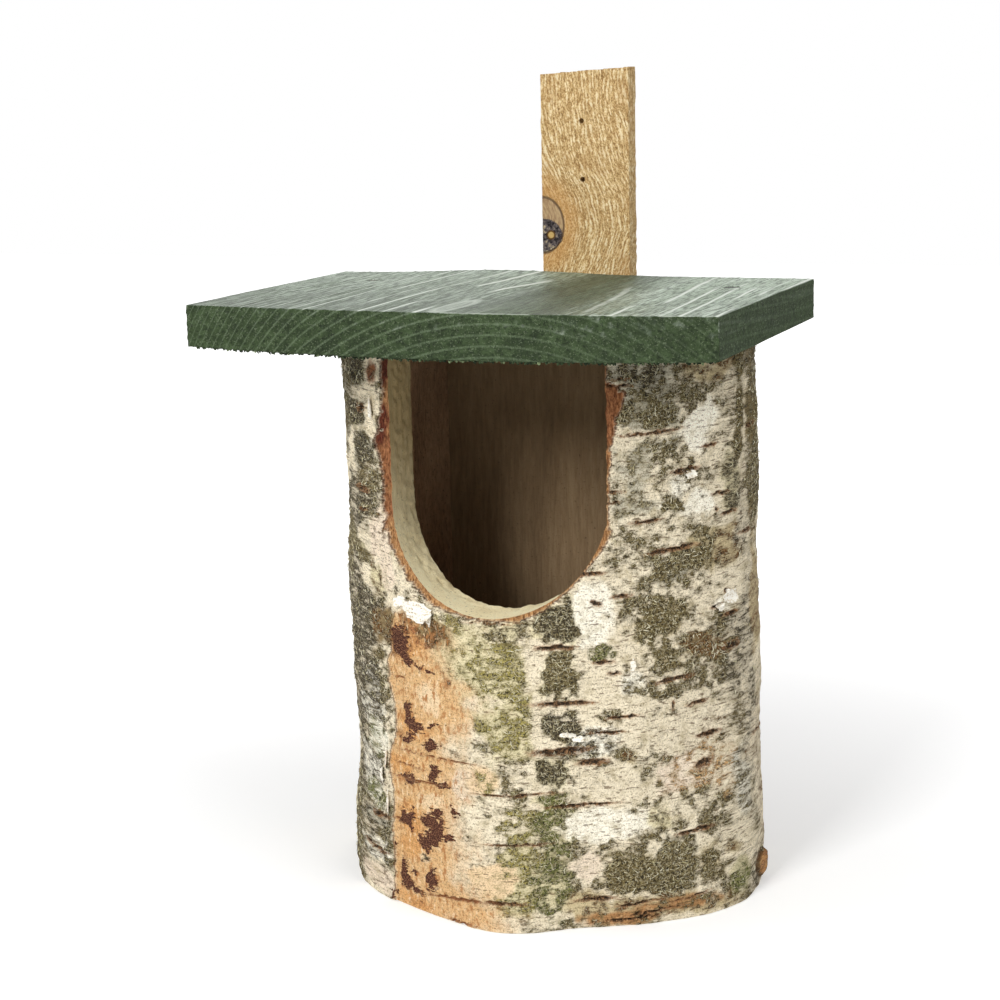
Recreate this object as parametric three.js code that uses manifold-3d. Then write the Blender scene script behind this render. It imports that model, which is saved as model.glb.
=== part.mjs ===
// Open-fronted nest box: a bored birch log with an arched mouth, a board roof and a hanging batten.
// Millimetres, +Z up. The origin is the centre of the base, on the axis of the log.
// The mouth faces -Y, and the flat back with its batten faces +Y.
import * as THREE from "three";
import { mergeVertices } from "three/addons/utils/BufferGeometryUtils.js";
import Module from "manifold-3d";

const wasm = await Module();
wasm.setup();

// Log: a straight length of trunk, a little stouter at the butt, bored right through
const logHeight = 246;
const logTopRadius = 89.4;
const logBaseRadius = 91.5;
const wallThickness = 19.9;
const flatBackOffset = 30;

// Swellings and hollows of the butt: angle from the front in degrees, positive to the right
const buttLobes = [
  { angle: 4, spread: 13, swell: 4.5 },
  { angle: 25, spread: 12, swell: -3.5 },
  { angle: 75, spread: 24, swell: 7.2 },
  { angle: -30, spread: 10, swell: -1.8 },
  { angle: -84, spread: 20, swell: 3 },
];
const lobeGrowthPower = 1.8;

// Long shallow waves of the bark
const barkWaveHeight = 0.8;
const barkWavesAround = 7;
const barkWavesUp = 1.5;
const barkWaveTwist = 2;

// Sawn-off branch stub, low on the right
const stubAngle = 89;
const stubWidth = 15;
const stubTall = 12;
const stubReach = 2.6;
const stubLift = 2.4;

// Mouth: a U cut down from the top of the log, square to the roof's front edge
const mouthWidth = 94.4;
const mouthDepth = 112;
const mouthOffset = 3;

// Floor plate, let into the bore
const floorThickness = 15;

// Back board, nailed over the flat back, its edges set in from the bark
const backBoardInset = 6.2;
const backBoardThickness = 8;

// Roof board: a single plank, grain from front to back
const roofWidth = 227.2;
const roofDepth = 151.5;
const roofThickness = 18;
const roofOffset = -4.4;

// Warp of the plank: the front lip hangs, and the top dips in front and crowns at the back
const lipSag = 2.5;
const lipSagReachShare = 0.9;
const frontDip = 0.9;
const backCrown = 2;
const crownPlaceShare = -0.27;
const crownSpreadShare = 0.36;

// Hanging batten
const battenWidth = 41.2;
const battenThickness = 10.6;
const battenRise = 92;
const battenSkew = 2.4;
const battenOffset = 3.4;

// Holes for the hanging nails, measured down from the top of the batten
const hangHoleDiameter = 2.4;
const hangHoles = [
  { drop: 23.5, side: -1.4 },
  { drop: 49.5, side: -1.2 },
];

// Countersunk screws: the roof into the log, the batten into the roof and the floor
const screwHeadDiameter = 7.6;
const screwShankDiameter = 3.8;
const screwTipLength = 5;
const screwSink = 0.6;
const roofScrewLength = 50;
const roofScrewInset = 6.2;
const roofScrewSetback = -4;
const battenScrewLength = 38;
const battenScrewSpacing = 20;

// Round wire nails: the back board onto the log, and the log into the floor plate
const nailHeadDiameter = 4.8;
const nailHeadThickness = 1.1;
const nailShankDiameter = 2.2;
const nailTipLength = 3.5;
const nailSink = 0.2;
const boardNailLength = 30;
const boardNailEndDistance = 27;
const boardNailRows = 3;
const floorNailLength = 50;
const floorNailAngle = 100;

// Clearance round whatever is let into wood, and the overrun of every cut
const fitClearance = 0.3;
const overrun = 4;

// Fineness of the round forms
const logSegments = 96;
const logRings = 12;
const boreSegments = 72;
const mouthSegments = 32;
const stubSegments = 20;
const fastenerSegments = 14;
const holeSegments = 12;
const roofStepsAcross = 20;
const roofStepsDeep = 10;

const boreRadius = logTopRadius - wallThickness;
const mouthRadius = mouthWidth / 2;
const mouthArchHeight = logHeight - mouthDepth + mouthRadius;
const roofBack = flatBackOffset + backBoardThickness;
const roofFront = roofBack - roofDepth;
const battenHeight = logHeight + roofThickness + battenRise;

// Half widths of the flat back: out to the bark, and out to the edge of the bore
const backBarkEdge = Math.sqrt(logTopRadius ** 2 - flatBackOffset ** 2);
const backBoreEdge = Math.sqrt(boreRadius ** 2 - flatBackOffset ** 2);

const materials = {
  bark: new THREE.MeshStandardMaterial({ color: 0xb9ac95, roughness: 0.95, metalness: 0 }),
  greenBoard: new THREE.MeshStandardMaterial({ color: 0x35513d, roughness: 0.6, metalness: 0 }),
  batten: new THREE.MeshStandardMaterial({ color: 0xc39a5c, roughness: 0.85, metalness: 0 }),
  board: new THREE.MeshStandardMaterial({ color: 0xb98d58, roughness: 0.85, metalness: 0 }),
  floor: new THREE.MeshStandardMaterial({ color: 0xc2a172, roughness: 0.9, metalness: 0 }),
  screw: new THREE.MeshStandardMaterial({ color: 0xa9a593, roughness: 0.45, metalness: 0.9 }),
  nail: new THREE.MeshStandardMaterial({ color: 0x8c8a84, roughness: 0.5, metalness: 0.9 }),
};

// A manifold solid from a closed geometry
function solidOf(geometry) {
  const bare = geometry.clone();
  bare.deleteAttribute("normal");
  bare.deleteAttribute("uv");
  const merged = mergeVertices(bare);
  return new wasm.Manifold(
    new wasm.Mesh({
      numProp: 3,
      vertProperties: merged.attributes.position.array,
      triVerts: new Uint32Array(merged.index.array),
    }),
  );
}

// A geometry from a manifold solid
function geometryOf(solid) {
  const mesh = solid.getMesh();
  const geometry = new THREE.BufferGeometry();
  geometry.setAttribute("position", new THREE.BufferAttribute(mesh.vertProperties, mesh.numProp));
  geometry.setIndex(new THREE.BufferAttribute(mesh.triVerts, 1));
  geometry.computeVertexNormals();
  return geometry;
}

function named(name, geometry, material) {
  const mesh = new THREE.Mesh(geometry, material);
  mesh.name = name;
  return mesh;
}

// Radius of the bark at an angle from the front (radians) and a height above the base
function barkRadius(angle, height) {
  const drop = 1 - height / logHeight;
  const taper = logTopRadius + (logBaseRadius - logTopRadius) * drop;
  let swelling = 0;
  for (const lobe of buttLobes) {
    const away = THREE.MathUtils.radToDeg(angle) - lobe.angle;
    const turn = THREE.MathUtils.euclideanModulo(away + 180, 360) - 180;
    swelling += lobe.swell * Math.exp(-((turn / lobe.spread) ** 2));
  }
  const climb = (height / logHeight) * barkWavesUp * 2 * Math.PI;
  const wave = Math.sin(barkWavesAround * angle + barkWaveTwist * Math.sin(climb)) * Math.cos(climb);
  return taper + swelling * drop ** lobeGrowthPower + barkWaveHeight * wave;
}

// Point at an angle from the front, a distance from the axis and a height
function aroundLog(angle, radius, height) {
  return new THREE.Vector3(radius * Math.sin(angle), -radius * Math.cos(angle), height);
}

// The trunk in the round: rings of bark closed by a fan of faces at each end
function trunkGeometry() {
  const points = [];
  const faces = [];
  for (let ring = 0; ring <= logRings; ring += 1) {
    const height = (logHeight * ring) / logRings;
    for (let step = 0; step < logSegments; step += 1) {
      const angle = (2 * Math.PI * step) / logSegments;
      points.push(...aroundLog(angle, barkRadius(angle, height), height));
    }
  }
  const foot = points.length / 3;
  points.push(0, 0, 0, 0, 0, logHeight);
  const top = logRings * logSegments;
  for (let step = 0; step < logSegments; step += 1) {
    const next = (step + 1) % logSegments;
    for (let ring = 0; ring < logRings; ring += 1) {
      const low = ring * logSegments;
      const high = low + logSegments;
      faces.push(low + step, low + next, high + next);
      faces.push(low + step, high + next, high + step);
    }
    faces.push(foot, next, step);
    faces.push(foot + 1, top + step, top + next);
  }
  const geometry = new THREE.BufferGeometry();
  geometry.setAttribute("position", new THREE.Float32BufferAttribute(points, 3));
  geometry.setIndex(faces);
  return geometry;
}

// The oval stub of a branch, sawn off just proud of the bark
function stubGeometry() {
  const angle = THREE.MathUtils.degToRad(stubAngle);
  const height = stubLift + stubTall / 2;
  const root = barkRadius(angle, height) - stubTall;
  const length = stubTall + stubReach;
  const geometry = new THREE.CylinderGeometry(stubTall / 2, stubTall / 2, length, stubSegments);
  geometry.scale(stubWidth / stubTall, 1, 1);
  geometry.rotateZ(Math.PI);
  geometry.translate(0, -(root + length / 2), height);
  geometry.rotateZ(angle);
  return geometry;
}

function boreGeometry() {
  const length = logHeight + 2 * overrun;
  const geometry = new THREE.CylinderGeometry(boreRadius, boreRadius, length, boreSegments);
  geometry.rotateX(Math.PI / 2);
  geometry.translate(0, 0, logHeight / 2);
  return geometry;
}

// The mouth's cutter: straight sides over a half round, run out through the front wall
function mouthGeometry() {
  const outline = new THREE.Shape();
  outline.moveTo(-mouthRadius, logHeight + overrun);
  outline.lineTo(-mouthRadius, mouthArchHeight);
  outline.absarc(0, mouthArchHeight, mouthRadius, Math.PI, 2 * Math.PI, false);
  outline.lineTo(mouthRadius, logHeight + overrun);
  outline.closePath();
  const reach = 2 * logBaseRadius;
  const geometry = new THREE.ExtrudeGeometry(outline, {
    depth: reach,
    bevelEnabled: false,
    curveSegments: mouthSegments,
  });
  geometry.rotateX(Math.PI / 2);
  geometry.translate(mouthOffset, 0, 0);
  return geometry;
}

function backCutGeometry() {
  const reach = 2 * logBaseRadius;
  const geometry = new THREE.BoxGeometry(2 * reach, reach, logHeight + 2 * overrun);
  geometry.translate(0, flatBackOffset + reach / 2, logHeight / 2);
  return geometry;
}

function makeLog() {
  const solid = solidOf(trunkGeometry())
    .add(solidOf(stubGeometry()))
    .subtract(solidOf(boreGeometry()))
    .subtract(solidOf(mouthGeometry()))
    .subtract(solidOf(backCutGeometry()));
  return named("birch_log", geometryOf(solid), materials.bark);
}

// A disc with one side cut straight, so that it fills the bore up to the back board
function makeFloor() {
  const radius = boreRadius - fitClearance;
  const half = Math.asin(flatBackOffset / radius);
  const outline = new THREE.Shape();
  outline.absarc(0, 0, radius, Math.PI - half, 2 * Math.PI + half, false);
  outline.closePath();
  const geometry = new THREE.ExtrudeGeometry(outline, {
    depth: floorThickness,
    bevelEnabled: false,
    curveSegments: boreSegments,
  });
  return named("floor_plate", geometry, materials.floor);
}

function makeBackBoard() {
  const width = 2 * (backBarkEdge - backBoardInset);
  const geometry = new THREE.BoxGeometry(width, backBoardThickness, logHeight);
  const board = named("back_board", geometry, materials.board);
  board.position.set(0, flatBackOffset + backBoardThickness / 2, logHeight / 2);
  return board;
}

// Height of the roof's top above its underside, across and back from the middle of its front edge
function roofTop(across, back) {
  const side = across / (roofWidth / 2);
  const depth = back / roofDepth;
  const hollow = frontDip * (1 - side ** 2) * (1 - depth);
  const crown = backCrown * Math.exp(-(((side - crownPlaceShare) / crownSpreadShare) ** 2)) * depth;
  return roofThickness - hollow + crown;
}

// Height of the roof's underside: flat where it rests on the log, sagging along the front lip
function roofUnderside(across, back) {
  const side = across / (roofWidth / 2);
  const reach = lipSagReachShare * (-roofFront - logTopRadius);
  const near = Math.max(0, 1 - back / reach);
  return -lipSag * (1 - side ** 2) * near;
}

// Distances back from the front edge, the first few close together under the lip
function roofDepths() {
  const reach = lipSagReachShare * (-roofFront - logTopRadius);
  const depths = [0, reach / 2, reach];
  for (let step = 1; step <= roofStepsDeep; step += 1) {
    depths.push(reach + ((roofDepth - reach) * step) / roofStepsDeep);
  }
  return depths;
}

// The plank as two skins of points, joined round the edge
function plankGeometry() {
  const depths = roofDepths();
  const points = [];
  const faces = [];
  const columns = roofStepsAcross + 1;
  for (const heightAt of [roofUnderside, roofTop]) {
    for (const back of depths) {
      for (let step = 0; step < columns; step += 1) {
        const across = roofWidth * (step / roofStepsAcross - 1 / 2);
        points.push(across, back, heightAt(across, back));
      }
    }
  }
  const layer = depths.length * columns;
  const quad = (a, b, c, d) => faces.push(a, b, c, a, c, d);
  for (let row = 0; row + 1 < depths.length; row += 1) {
    for (let step = 0; step < roofStepsAcross; step += 1) {
      const corner = row * columns + step;
      quad(corner, corner + columns, corner + columns + 1, corner + 1);
      quad(layer + corner, layer + corner + 1, layer + corner + columns + 1, layer + corner + columns);
    }
    const left = row * columns;
    const right = left + roofStepsAcross;
    quad(left, layer + left, layer + left + columns, left + columns);
    quad(right, right + columns, layer + right + columns, layer + right);
  }
  const last = (depths.length - 1) * columns;
  for (let step = 0; step < roofStepsAcross; step += 1) {
    quad(step, step + 1, layer + step + 1, layer + step);
    quad(last + step, layer + last + step, layer + last + step + 1, last + step + 1);
  }
  const geometry = new THREE.BufferGeometry();
  geometry.setAttribute("position", new THREE.Float32BufferAttribute(points, 3));
  geometry.setIndex(faces);
  geometry.computeVertexNormals();
  return geometry;
}

function makeRoof() {
  const roof = named("roof_board", plankGeometry(), materials.greenBoard);
  roof.position.set(roofOffset, roofFront, logHeight);
  return roof;
}

// The batten's face, with its top sawn a little off square and two holes for the hanging nails
function makeBatten() {
  const half = battenWidth / 2;
  const outline = new THREE.Shape();
  outline.moveTo(-half, 0);
  outline.lineTo(half, 0);
  outline.lineTo(half, battenHeight);
  outline.lineTo(-half, battenHeight - battenSkew);
  outline.closePath();
  for (const { drop, side } of hangHoles) {
    const hole = new THREE.Path();
    hole.absarc(side, battenHeight - drop, hangHoleDiameter / 2, 0, 2 * Math.PI, true);
    outline.holes.push(hole);
  }
  const geometry = new THREE.ExtrudeGeometry(outline, {
    depth: battenThickness,
    bevelEnabled: false,
    curveSegments: holeSegments,
  });
  const batten = named("back_batten", geometry, materials.batten);
  batten.rotation.x = Math.PI / 2;
  batten.position.set(battenOffset, roofBack + battenThickness, 0);
  return batten;
}

// A round form along -Y from its head at the origin: [radius, distance from the head] pairs
function turned(profile) {
  const points = profile.map(([radius, along]) => new THREE.Vector2(radius, -along));
  return new THREE.LatheGeometry(points.reverse(), fastenerSegments);
}

// Countersunk screw, and the hole that clears it
function screwForms(length) {
  const head = screwHeadDiameter / 2;
  const shank = screwShankDiameter / 2;
  const cone = head - shank;
  const form = turned([[0, 0], [head, 0], [shank, cone], [shank, length - screwTipLength], [0, length]]);
  const wide = head + fitClearance;
  const bore = shank + fitClearance;
  const mouth = -(screwSink + overrun);
  const end = length + fitClearance;
  const hole = turned([[0, mouth], [wide, mouth], [wide, 0], [bore, cone], [bore, end], [0, end]]);
  return { form, hole };
}

// Round wire nail, and the hole that clears it
function nailForms(length) {
  const head = nailHeadDiameter / 2;
  const shank = nailShankDiameter / 2;
  const under = nailHeadThickness;
  const form = turned([
    [0, 0],
    [head, 0],
    [head, under],
    [shank, under],
    [shank, length - nailTipLength],
    [0, length],
  ]);
  const wide = head + fitClearance;
  const bore = shank + fitClearance;
  const mouth = -(nailSink + overrun);
  const seat = under + fitClearance;
  const end = length + fitClearance;
  const hole = turned([[0, mouth], [wide, mouth], [wide, seat], [bore, seat], [bore, end], [0, end]]);
  return { form, hole };
}

// A fastener with its head at a point, driven in a direction
function driven(name, forms, material, head, direction) {
  const fastener = named(name, forms.form, material);
  fastener.position.copy(head);
  fastener.quaternion.setFromUnitVectors(new THREE.Vector3(0, -1, 0), direction);
  fastener.userData.hole = forms.hole;
  return fastener;
}

// Cut the holes of some fasteners out of a piece
function drill(piece, fasteners) {
  piece.updateMatrixWorld(true);
  const intoPiece = piece.matrixWorld.clone().invert();
  let solid = solidOf(piece.geometry);
  for (const fastener of fasteners) {
    fastener.updateMatrixWorld(true);
    const hole = fastener.userData.hole.clone();
    hole.applyMatrix4(fastener.matrixWorld);
    hole.applyMatrix4(intoPiece);
    solid = solid.subtract(solidOf(hole));
  }
  piece.geometry = geometryOf(solid);
}

const down = new THREE.Vector3(0, 0, -1);
const forward = new THREE.Vector3(0, -1, 0);
const sides = [
  { side: "left", sign: -1 },
  { side: "right", sign: 1 },
];

// Two screws through the roof into the end grain of the log's side walls
function makeRoofScrews() {
  return sides.map(({ side, sign }) => {
    const across = sign * (logTopRadius - roofScrewInset);
    const top = roofTop(across - roofOffset, roofScrewSetback - roofFront);
    const head = new THREE.Vector3(across, roofScrewSetback, logHeight + top - screwSink);
    return driven("roof_screw_" + side, screwForms(roofScrewLength), materials.screw, head, down);
  });
}

// Screws through the batten at one height, two side by side
function makeBattenScrews(place, height) {
  return sides.map(({ side, sign }) => {
    const across = battenOffset + (sign * battenScrewSpacing) / 2;
    const back = roofBack + battenThickness - screwSink;
    const head = new THREE.Vector3(across, back, height);
    const name = "batten_" + place + "_screw_" + side;
    return driven(name, screwForms(battenScrewLength), materials.screw, head, forward);
  });
}

// Nails down both edges of the back board, into the middle of the flats beside the bore
function makeBoardNails() {
  const across = (backBoreEdge + backBarkEdge) / 2;
  const nails = [];
  for (const { side, sign } of sides) {
    for (let row = 0; row < boardNailRows; row += 1) {
      const span = logHeight - 2 * boardNailEndDistance;
      const height = boardNailEndDistance + (span * row) / (boardNailRows - 1);
      const head = new THREE.Vector3(sign * across, roofBack - nailSink, height);
      const name = "board_nail_" + side + "_" + (row + 1);
      nails.push(driven(name, nailForms(boardNailLength), materials.nail, head, forward));
    }
  }
  return nails;
}

// One nail each side, through the log's wall into the edge of the floor plate
function makeFloorNails() {
  return sides.map(({ side, sign }) => {
    const angle = THREE.MathUtils.degToRad(sign * floorNailAngle);
    const height = floorThickness / 2;
    const head = aroundLog(angle, barkRadius(angle, height) - nailSink, height);
    const inward = aroundLog(angle, -1, 0);
    return driven("floor_nail_" + side, nailForms(floorNailLength), materials.nail, head, inward);
  });
}

const log = makeLog();
const floor = makeFloor();
const backBoard = makeBackBoard();
const roof = makeRoof();
const batten = makeBatten();
const roofScrews = makeRoofScrews();
const battenRoofScrews = makeBattenScrews("roof", logHeight + roofThickness / 2);
const battenFloorScrews = makeBattenScrews("floor", floorThickness / 2);
const boardNails = makeBoardNails();
const floorNails = makeFloorNails();

drill(log, [...roofScrews, ...boardNails, ...floorNails]);
drill(floor, [...battenFloorScrews, ...floorNails]);
drill(backBoard, [...boardNails, ...battenFloorScrews]);
drill(roof, [...roofScrews, ...battenRoofScrews]);
drill(batten, [...battenRoofScrews, ...battenFloorScrews]);

const box = new THREE.Group();
box.add(log, floor, backBoard);

const roofGroup = new THREE.Group();
roofGroup.add(roof, ...roofScrews);

const hanger = new THREE.Group();
hanger.add(batten, ...battenRoofScrews, ...battenFloorScrews);

const nest = new THREE.Group();
nest.add(box, roofGroup, hanger, ...boardNails, ...floorNails);

export default nest;
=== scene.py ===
"""Looks of the open-fronted nest box: birch bark, green roof board, rough batten, light and camera."""
import itertools
import math

import bmesh
import bpy
import numpy as np
from mathutils import Matrix, Vector


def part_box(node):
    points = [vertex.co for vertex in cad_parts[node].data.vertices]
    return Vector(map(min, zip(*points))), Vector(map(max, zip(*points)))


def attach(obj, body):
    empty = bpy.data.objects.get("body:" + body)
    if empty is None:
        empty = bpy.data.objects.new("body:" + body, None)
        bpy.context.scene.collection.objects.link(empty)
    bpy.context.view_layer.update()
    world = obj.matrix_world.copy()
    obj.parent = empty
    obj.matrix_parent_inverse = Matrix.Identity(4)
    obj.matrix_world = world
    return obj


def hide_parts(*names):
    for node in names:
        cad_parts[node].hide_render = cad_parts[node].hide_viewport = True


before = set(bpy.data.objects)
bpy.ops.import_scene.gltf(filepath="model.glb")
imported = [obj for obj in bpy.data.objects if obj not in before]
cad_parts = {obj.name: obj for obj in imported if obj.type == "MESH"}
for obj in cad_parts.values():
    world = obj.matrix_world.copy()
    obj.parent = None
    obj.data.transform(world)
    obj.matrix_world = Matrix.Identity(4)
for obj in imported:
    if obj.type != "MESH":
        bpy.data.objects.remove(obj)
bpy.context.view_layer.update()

MM = 0.001
WELD_DISTANCE = 0.002
NOISE_SIDE = 512

# The log, as the frame has it, in millimetres and degrees
LOG_HEIGHT = 246
LOG_TOP_RADIUS = 89.4
LOG_BASE_RADIUS = 91.5
BORE_RADIUS = 69.5
FLAT_BACK = 30
BUTT_LOBES = [(4, 13, 4.5), (25, 12, -3.5), (75, 24, 7.2), (-30, 10, -1.8), (-84, 20, 3)]
LOBE_POWER = 1.8
WAVE_HEIGHT = 0.8
WAVES_AROUND = 7
WAVES_UP = 1.5
WAVE_TWIST = 2
MOUTH_RADIUS = 47.2
MOUTH_DEPTH = 112
MOUTH_OFFSET = 3
ARCH_HEIGHT = LOG_HEIGHT - MOUTH_DEPTH + MOUTH_RADIUS
OVERRUN = 4
STUB_ANGLE = 89
STUB_WIDTH = 15
STUB_TALL = 12
STUB_REACH = 2.6
STUB_HEIGHT = 8.4
STUB_INSET = 0.3
STUB_RING_RISE = 0.15
STUB_RING_TURN = 22

# Fineness of the log's mesh: spans of angle with the spacing of their columns, and the rows' height
TRUNK_SPANS = [(-118, -58, 1.15), (-58, 78, 0.52), (78, 118, 0.85), (118, 242, 8)]
TRUNK_ROW_HEIGHT = 0.88
BORE_COLUMNS = 180
BORE_ROWS = 60
MOUTH_SPACING = 0.9
MOUTH_DEPTHS = [-130, *np.arange(-99, -40, 1.1), 0]

# How rough the saw and the auger left the log, and where the mouth's edge is ragged, in millimetres
BORE_STREAKS = 0.18
MOUTH_ROUGHNESS = 0.05
MOUTH_RAGGEDNESS = 0.8
RAGGED_START = -78

# The steepest angle that is shaded smooth on each kind of piece, in degrees
BARK_SMOOTHING = 50
ROOF_SMOOTHING = 60
BATTEN_SMOOTHING = 45

# The log's materials in their slots
BARK, SAWN, BORED = range(3)

# Bark is laid out flat by its distance round the log at this radius
BARK_RADIUS = 90
DEGREE = math.radians(1) * BARK_RADIUS

# The strip without outer bark: its edges in degrees by height, and how softly it ends
PEEL_HEIGHTS = [0, 8, 12, 20, 30, 40, 50, 60, 68, 76, 84, 92, 100, 108, 116, 124, 132, 140]
PEEL_LEFT = [-33, -33, -32.6, -33, -33.6, -32.6, -32.4, -33.6, -33,
             -30.5, -30.5, -32.5, -33.4, -33, -31, -31, -29, -27]
PEEL_RIGHT = [13, 15, 9, 1, 4, 1, -1, 3, 2, -2, 1, 5, 5, -1, -5, -3, -5, -7]
PEEL_TOP = 133
PEEL_LEFT_FADE = 0.7
PEEL_RIGHT_FADE = 15
PEEL_TOP_FADE = 4

# The strip along the mouth where the outer bark is torn back: its width by height, and by angle below
RIM_LEFT_HEIGHTS = [120, 135, 145, 160, 175, 190, 200, 212, 216, 224, 240]
RIM_LEFT = [0, 1.6, 4.5, 5.0, 4.5, 5.5, 7.0, 8.0, 5.0, 4.5, 3.0]
RIM_RIGHT_HEIGHTS = [150, 158, 163, 170, 176, 186, 196, 206, 212, 220, 224, 229, 232]
RIM_RIGHT = [0.6, 1.6, 3.2, 3.6, 1.2, 0.9, 1.5, 2.4, 3.4, 4.4, 6.2, 5.6, 0.4]
RIM_LOW_ANGLES = [-20, -12, -5, 0, 6, 10, 15, 20, 28]
RIM_LOW = [4, 2.2, 1.0, 0.3, 0.8, 2.0, 2.4, 0.8, 0.4]
RIM_MIDDLE = 3
RIM_LOW_START = 8
RIM_LOW_BLEND = 24

# The bark's marks run longer beyond these angles left and right of the front
FLANK_START = 38
FLANK_END = 68
FLANK_STRETCH = 0.45

# Low swellings and hollows down the left flank, in millimetres
FLANK_ANGLE = -72
FLANK_SPREAD = 26
FLANK_HEIGHTS = [0, 30, 42, 56, 70, 85, 100, 112, 126, 141, 163, 184, 206, 228, 238, 246]
FLANK_SWELL = [0, 0, -1.6, -2.7, -2.4, -1.7, -0.6, 0, 0.8, 1.5, 1.4, 1.1, 1.6, 2.2, 3.0, 3.2]

# How far the bark's own forms stand out of the trunk or lie in it, in millimetres
LONG_WAVES = 0.5
SHORT_WAVES = 0.3
GROWTH_RISE = 0.25
CLUMP_RISE = 0.7
FLAKE_RISE = 0.7
LIP_RISE = 0.4
CRACK_DEPTH = 1.1
PEEL_DEPTH = 0.9
RIM_DEPTH = 1.5
RIM_STRANDS = 0.5

# How widely the growth's threshold is spread, and how much of it the clumps decide
SPECKLE_SPREAD = 0.46
CLUMP_SHARE = 1.1

# Threads drawn on the growth, in metres: how far each layer is shifted, then for each layer its spacing,
# half length and half width
THREAD_SHIFT = 0.37
THREADS = [(0.0021, 0.0012, 0.00019), (0.0017, 0.0009, 0.00017), (0.0014, 0.0007, 0.00016)]

# Sizes of the fine patterns in bark, lichen and splinters, and depths of their finest relief, in metres
BARK_GRAIN = 0.0006
BARK_WEAVE = 0.0012
BARK_THREADS = 0.0016
BARK_MOTTLE = 0.0028
BARK_STAINS = 0.006
BARK_DASHES = 0.0015
BARK_PATINA = 0.0022
BARK_STRANDS = 0.0012
BARK_COMBING = 0.0014
BARK_BUMP = 0.001
PAPER_GRAIN = 0.0009
PAPER_BUMP = 0.0006
LICHEN_GRAIN = 0.0006
SLIVER_GRAIN = 0.0008
THREAD_BUMP = 0.0002

# The same for sawn wood, the green stain, the batten and the steel. Ring lines are counted to the metre.
# Their drift is in rings, and the jitter of the batten's ridges is in radians of one ridge's wave.
WOOD_FIBRE = 0.0014
CUT_FIBRE = 0.0009
WOOD_BANDS = 0.014
WOOD_PORES = 0.0012
WOOD_BUMP = 0.0003
CUT_BUMP = 0.00015
RING_LINES = 210.0
RING_DRIFT = 0.03
RING_DRIFT_REACH = 9.0
STAIN_FIBRE = 0.0013
STAIN_HAIRS = 0.0007
STAIN_PORES = 0.0007
STAIN_SPECKS = 0.0012
STAIN_BANDS = 0.012
STAIN_BLOTCH = 0.0035
STAIN_BUMP = 0.0004
BATTEN_STREAKS = 0.001
BATTEN_FINE = 0.0005
BATTEN_JITTER = 0.006
BATTEN_JITTER_REACH = 26.0
BATTEN_BANDS = 0.009
BATTEN_BUMP = 0.0009
KNOT_GRAIN = 0.0018
RUBBED_SPOTS = 0.0011
RUBBED_BUMP = 0.0002
ZINC_SPOTS = 0.0008
WIRE_SPOTS = 0.0006
STEEL_BUMP = 0.0001

# Where the top takes painted sheen, in metres: beside a middle band, towards the back, and on the right, and
# where the lines of the rings fade
BAND_MIDDLE = 0.024
BAND_EDGE = (0.008, 0.034)
PAINTED_SHEEN_BACK = (-0.11, 0.03)
PAINTED_SHEEN_RIGHT = (0.03, 0.07)
FADED_LINES = (0.0, 0.09)

# Loose sheets of bark, threads of lichen, and splinters under the roof's front edge
CURL_THICKNESS = 0.3
CURL_COLUMNS = 12
CURL_ROWS = 9
CURL_RAGGEDNESS = 0.35
CURL_ROUNDING = 0.45
CURL_GAP = 0.25
CURL_WAVES = 0.15
FIBRE_TRIES = 12000
FIBRE_SPAN = 110
FIBRE_MARGIN = 3
FIBRE_BEND = 1.2
FIBRE_LENGTHS = (1.2, 3.4)
FIBRE_WIDTHS = (0.12, 0.22)
SLIVER_COUNT = 420
SLIVER_LENGTH = 1.15
SLIVER_WIDTHS = (0.35, 0.8)
SLIVER_SETBACKS = (1.3, 2.4)
SLIVER_ROOT_DEPTH = 0.7

# The roof board and its warp
ROOF_WIDTH = 227.2
ROOF_DEPTH = 151.5
ROOF_THICKNESS = 18
ROOF_OFFSET = -4.4
BOARD_THICKNESS = 8
ROOF_BACK = FLAT_BACK + BOARD_THICKNESS
ROOF_FRONT = ROOF_BACK - ROOF_DEPTH
ROOF_ROUNDING = 0.9
ROOF_INSET = 0.42
ROOF_SPACING = 0.6
ROOF_LENGTH_SPACING = 3.0
ROOF_EDGE = (0.3, 0.9)
ROOF_FRONT_EDGE = (0.3, 0.9, 1.8)
END_RING_RELIEF = 0.22
FACE_RING_RELIEF = 0.12
END_GRIT = 0.14
FACE_GRIT = 0.06
SPLINTER_DROP = 0.9
SPLINTER_DEPTH = 1.5
SPLINTER_RISE = 3.5
LIP_SAG = 2.5
LIP_SAG_SHARE = 0.9
FRONT_DIP = 0.9
BACK_CROWN = 2
CROWN_PLACE_SHARE = -0.27
CROWN_SPREAD_SHARE = 0.36

# The plank's growth rings: where their centre lies, and how their spacing narrows outwards
PITH_ACROSS = 19
PITH_BELOW = 111
RING_SPACING = 4.4
RING_START = 115
RING_NARROWING = 0.013
DROOP_START = 80
DROOP = 2.0
LATE_WOOD_SHARE = 0.8

# A long oval figure in the grain of the roof's top
WHORL_ACROSS = -2
WHORL_BACK = -92
WHORL_HALF_WIDTH = 4.2
WHORL_HALF_LENGTH = 20

# Fasteners whose heads show, and the clearance of their holes
HEAD_RADIUS = 3.8
SHANK_RADIUS = 1.9
SCREW_REACH = 51
NAIL_HEAD_RADIUS = 2.4
NAIL_HEAD_THICKNESS = 1.1
NAIL_RADIUS = 1.1
NAIL_SINK = 0.2
NAIL_REACH = 50
FLOOR_NAIL_ANGLE = 100
FLOOR_NAIL_HEIGHT = 7.5
HOLE_CLEARANCE = 0.3
SOCKET_SIDES = 20

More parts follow.
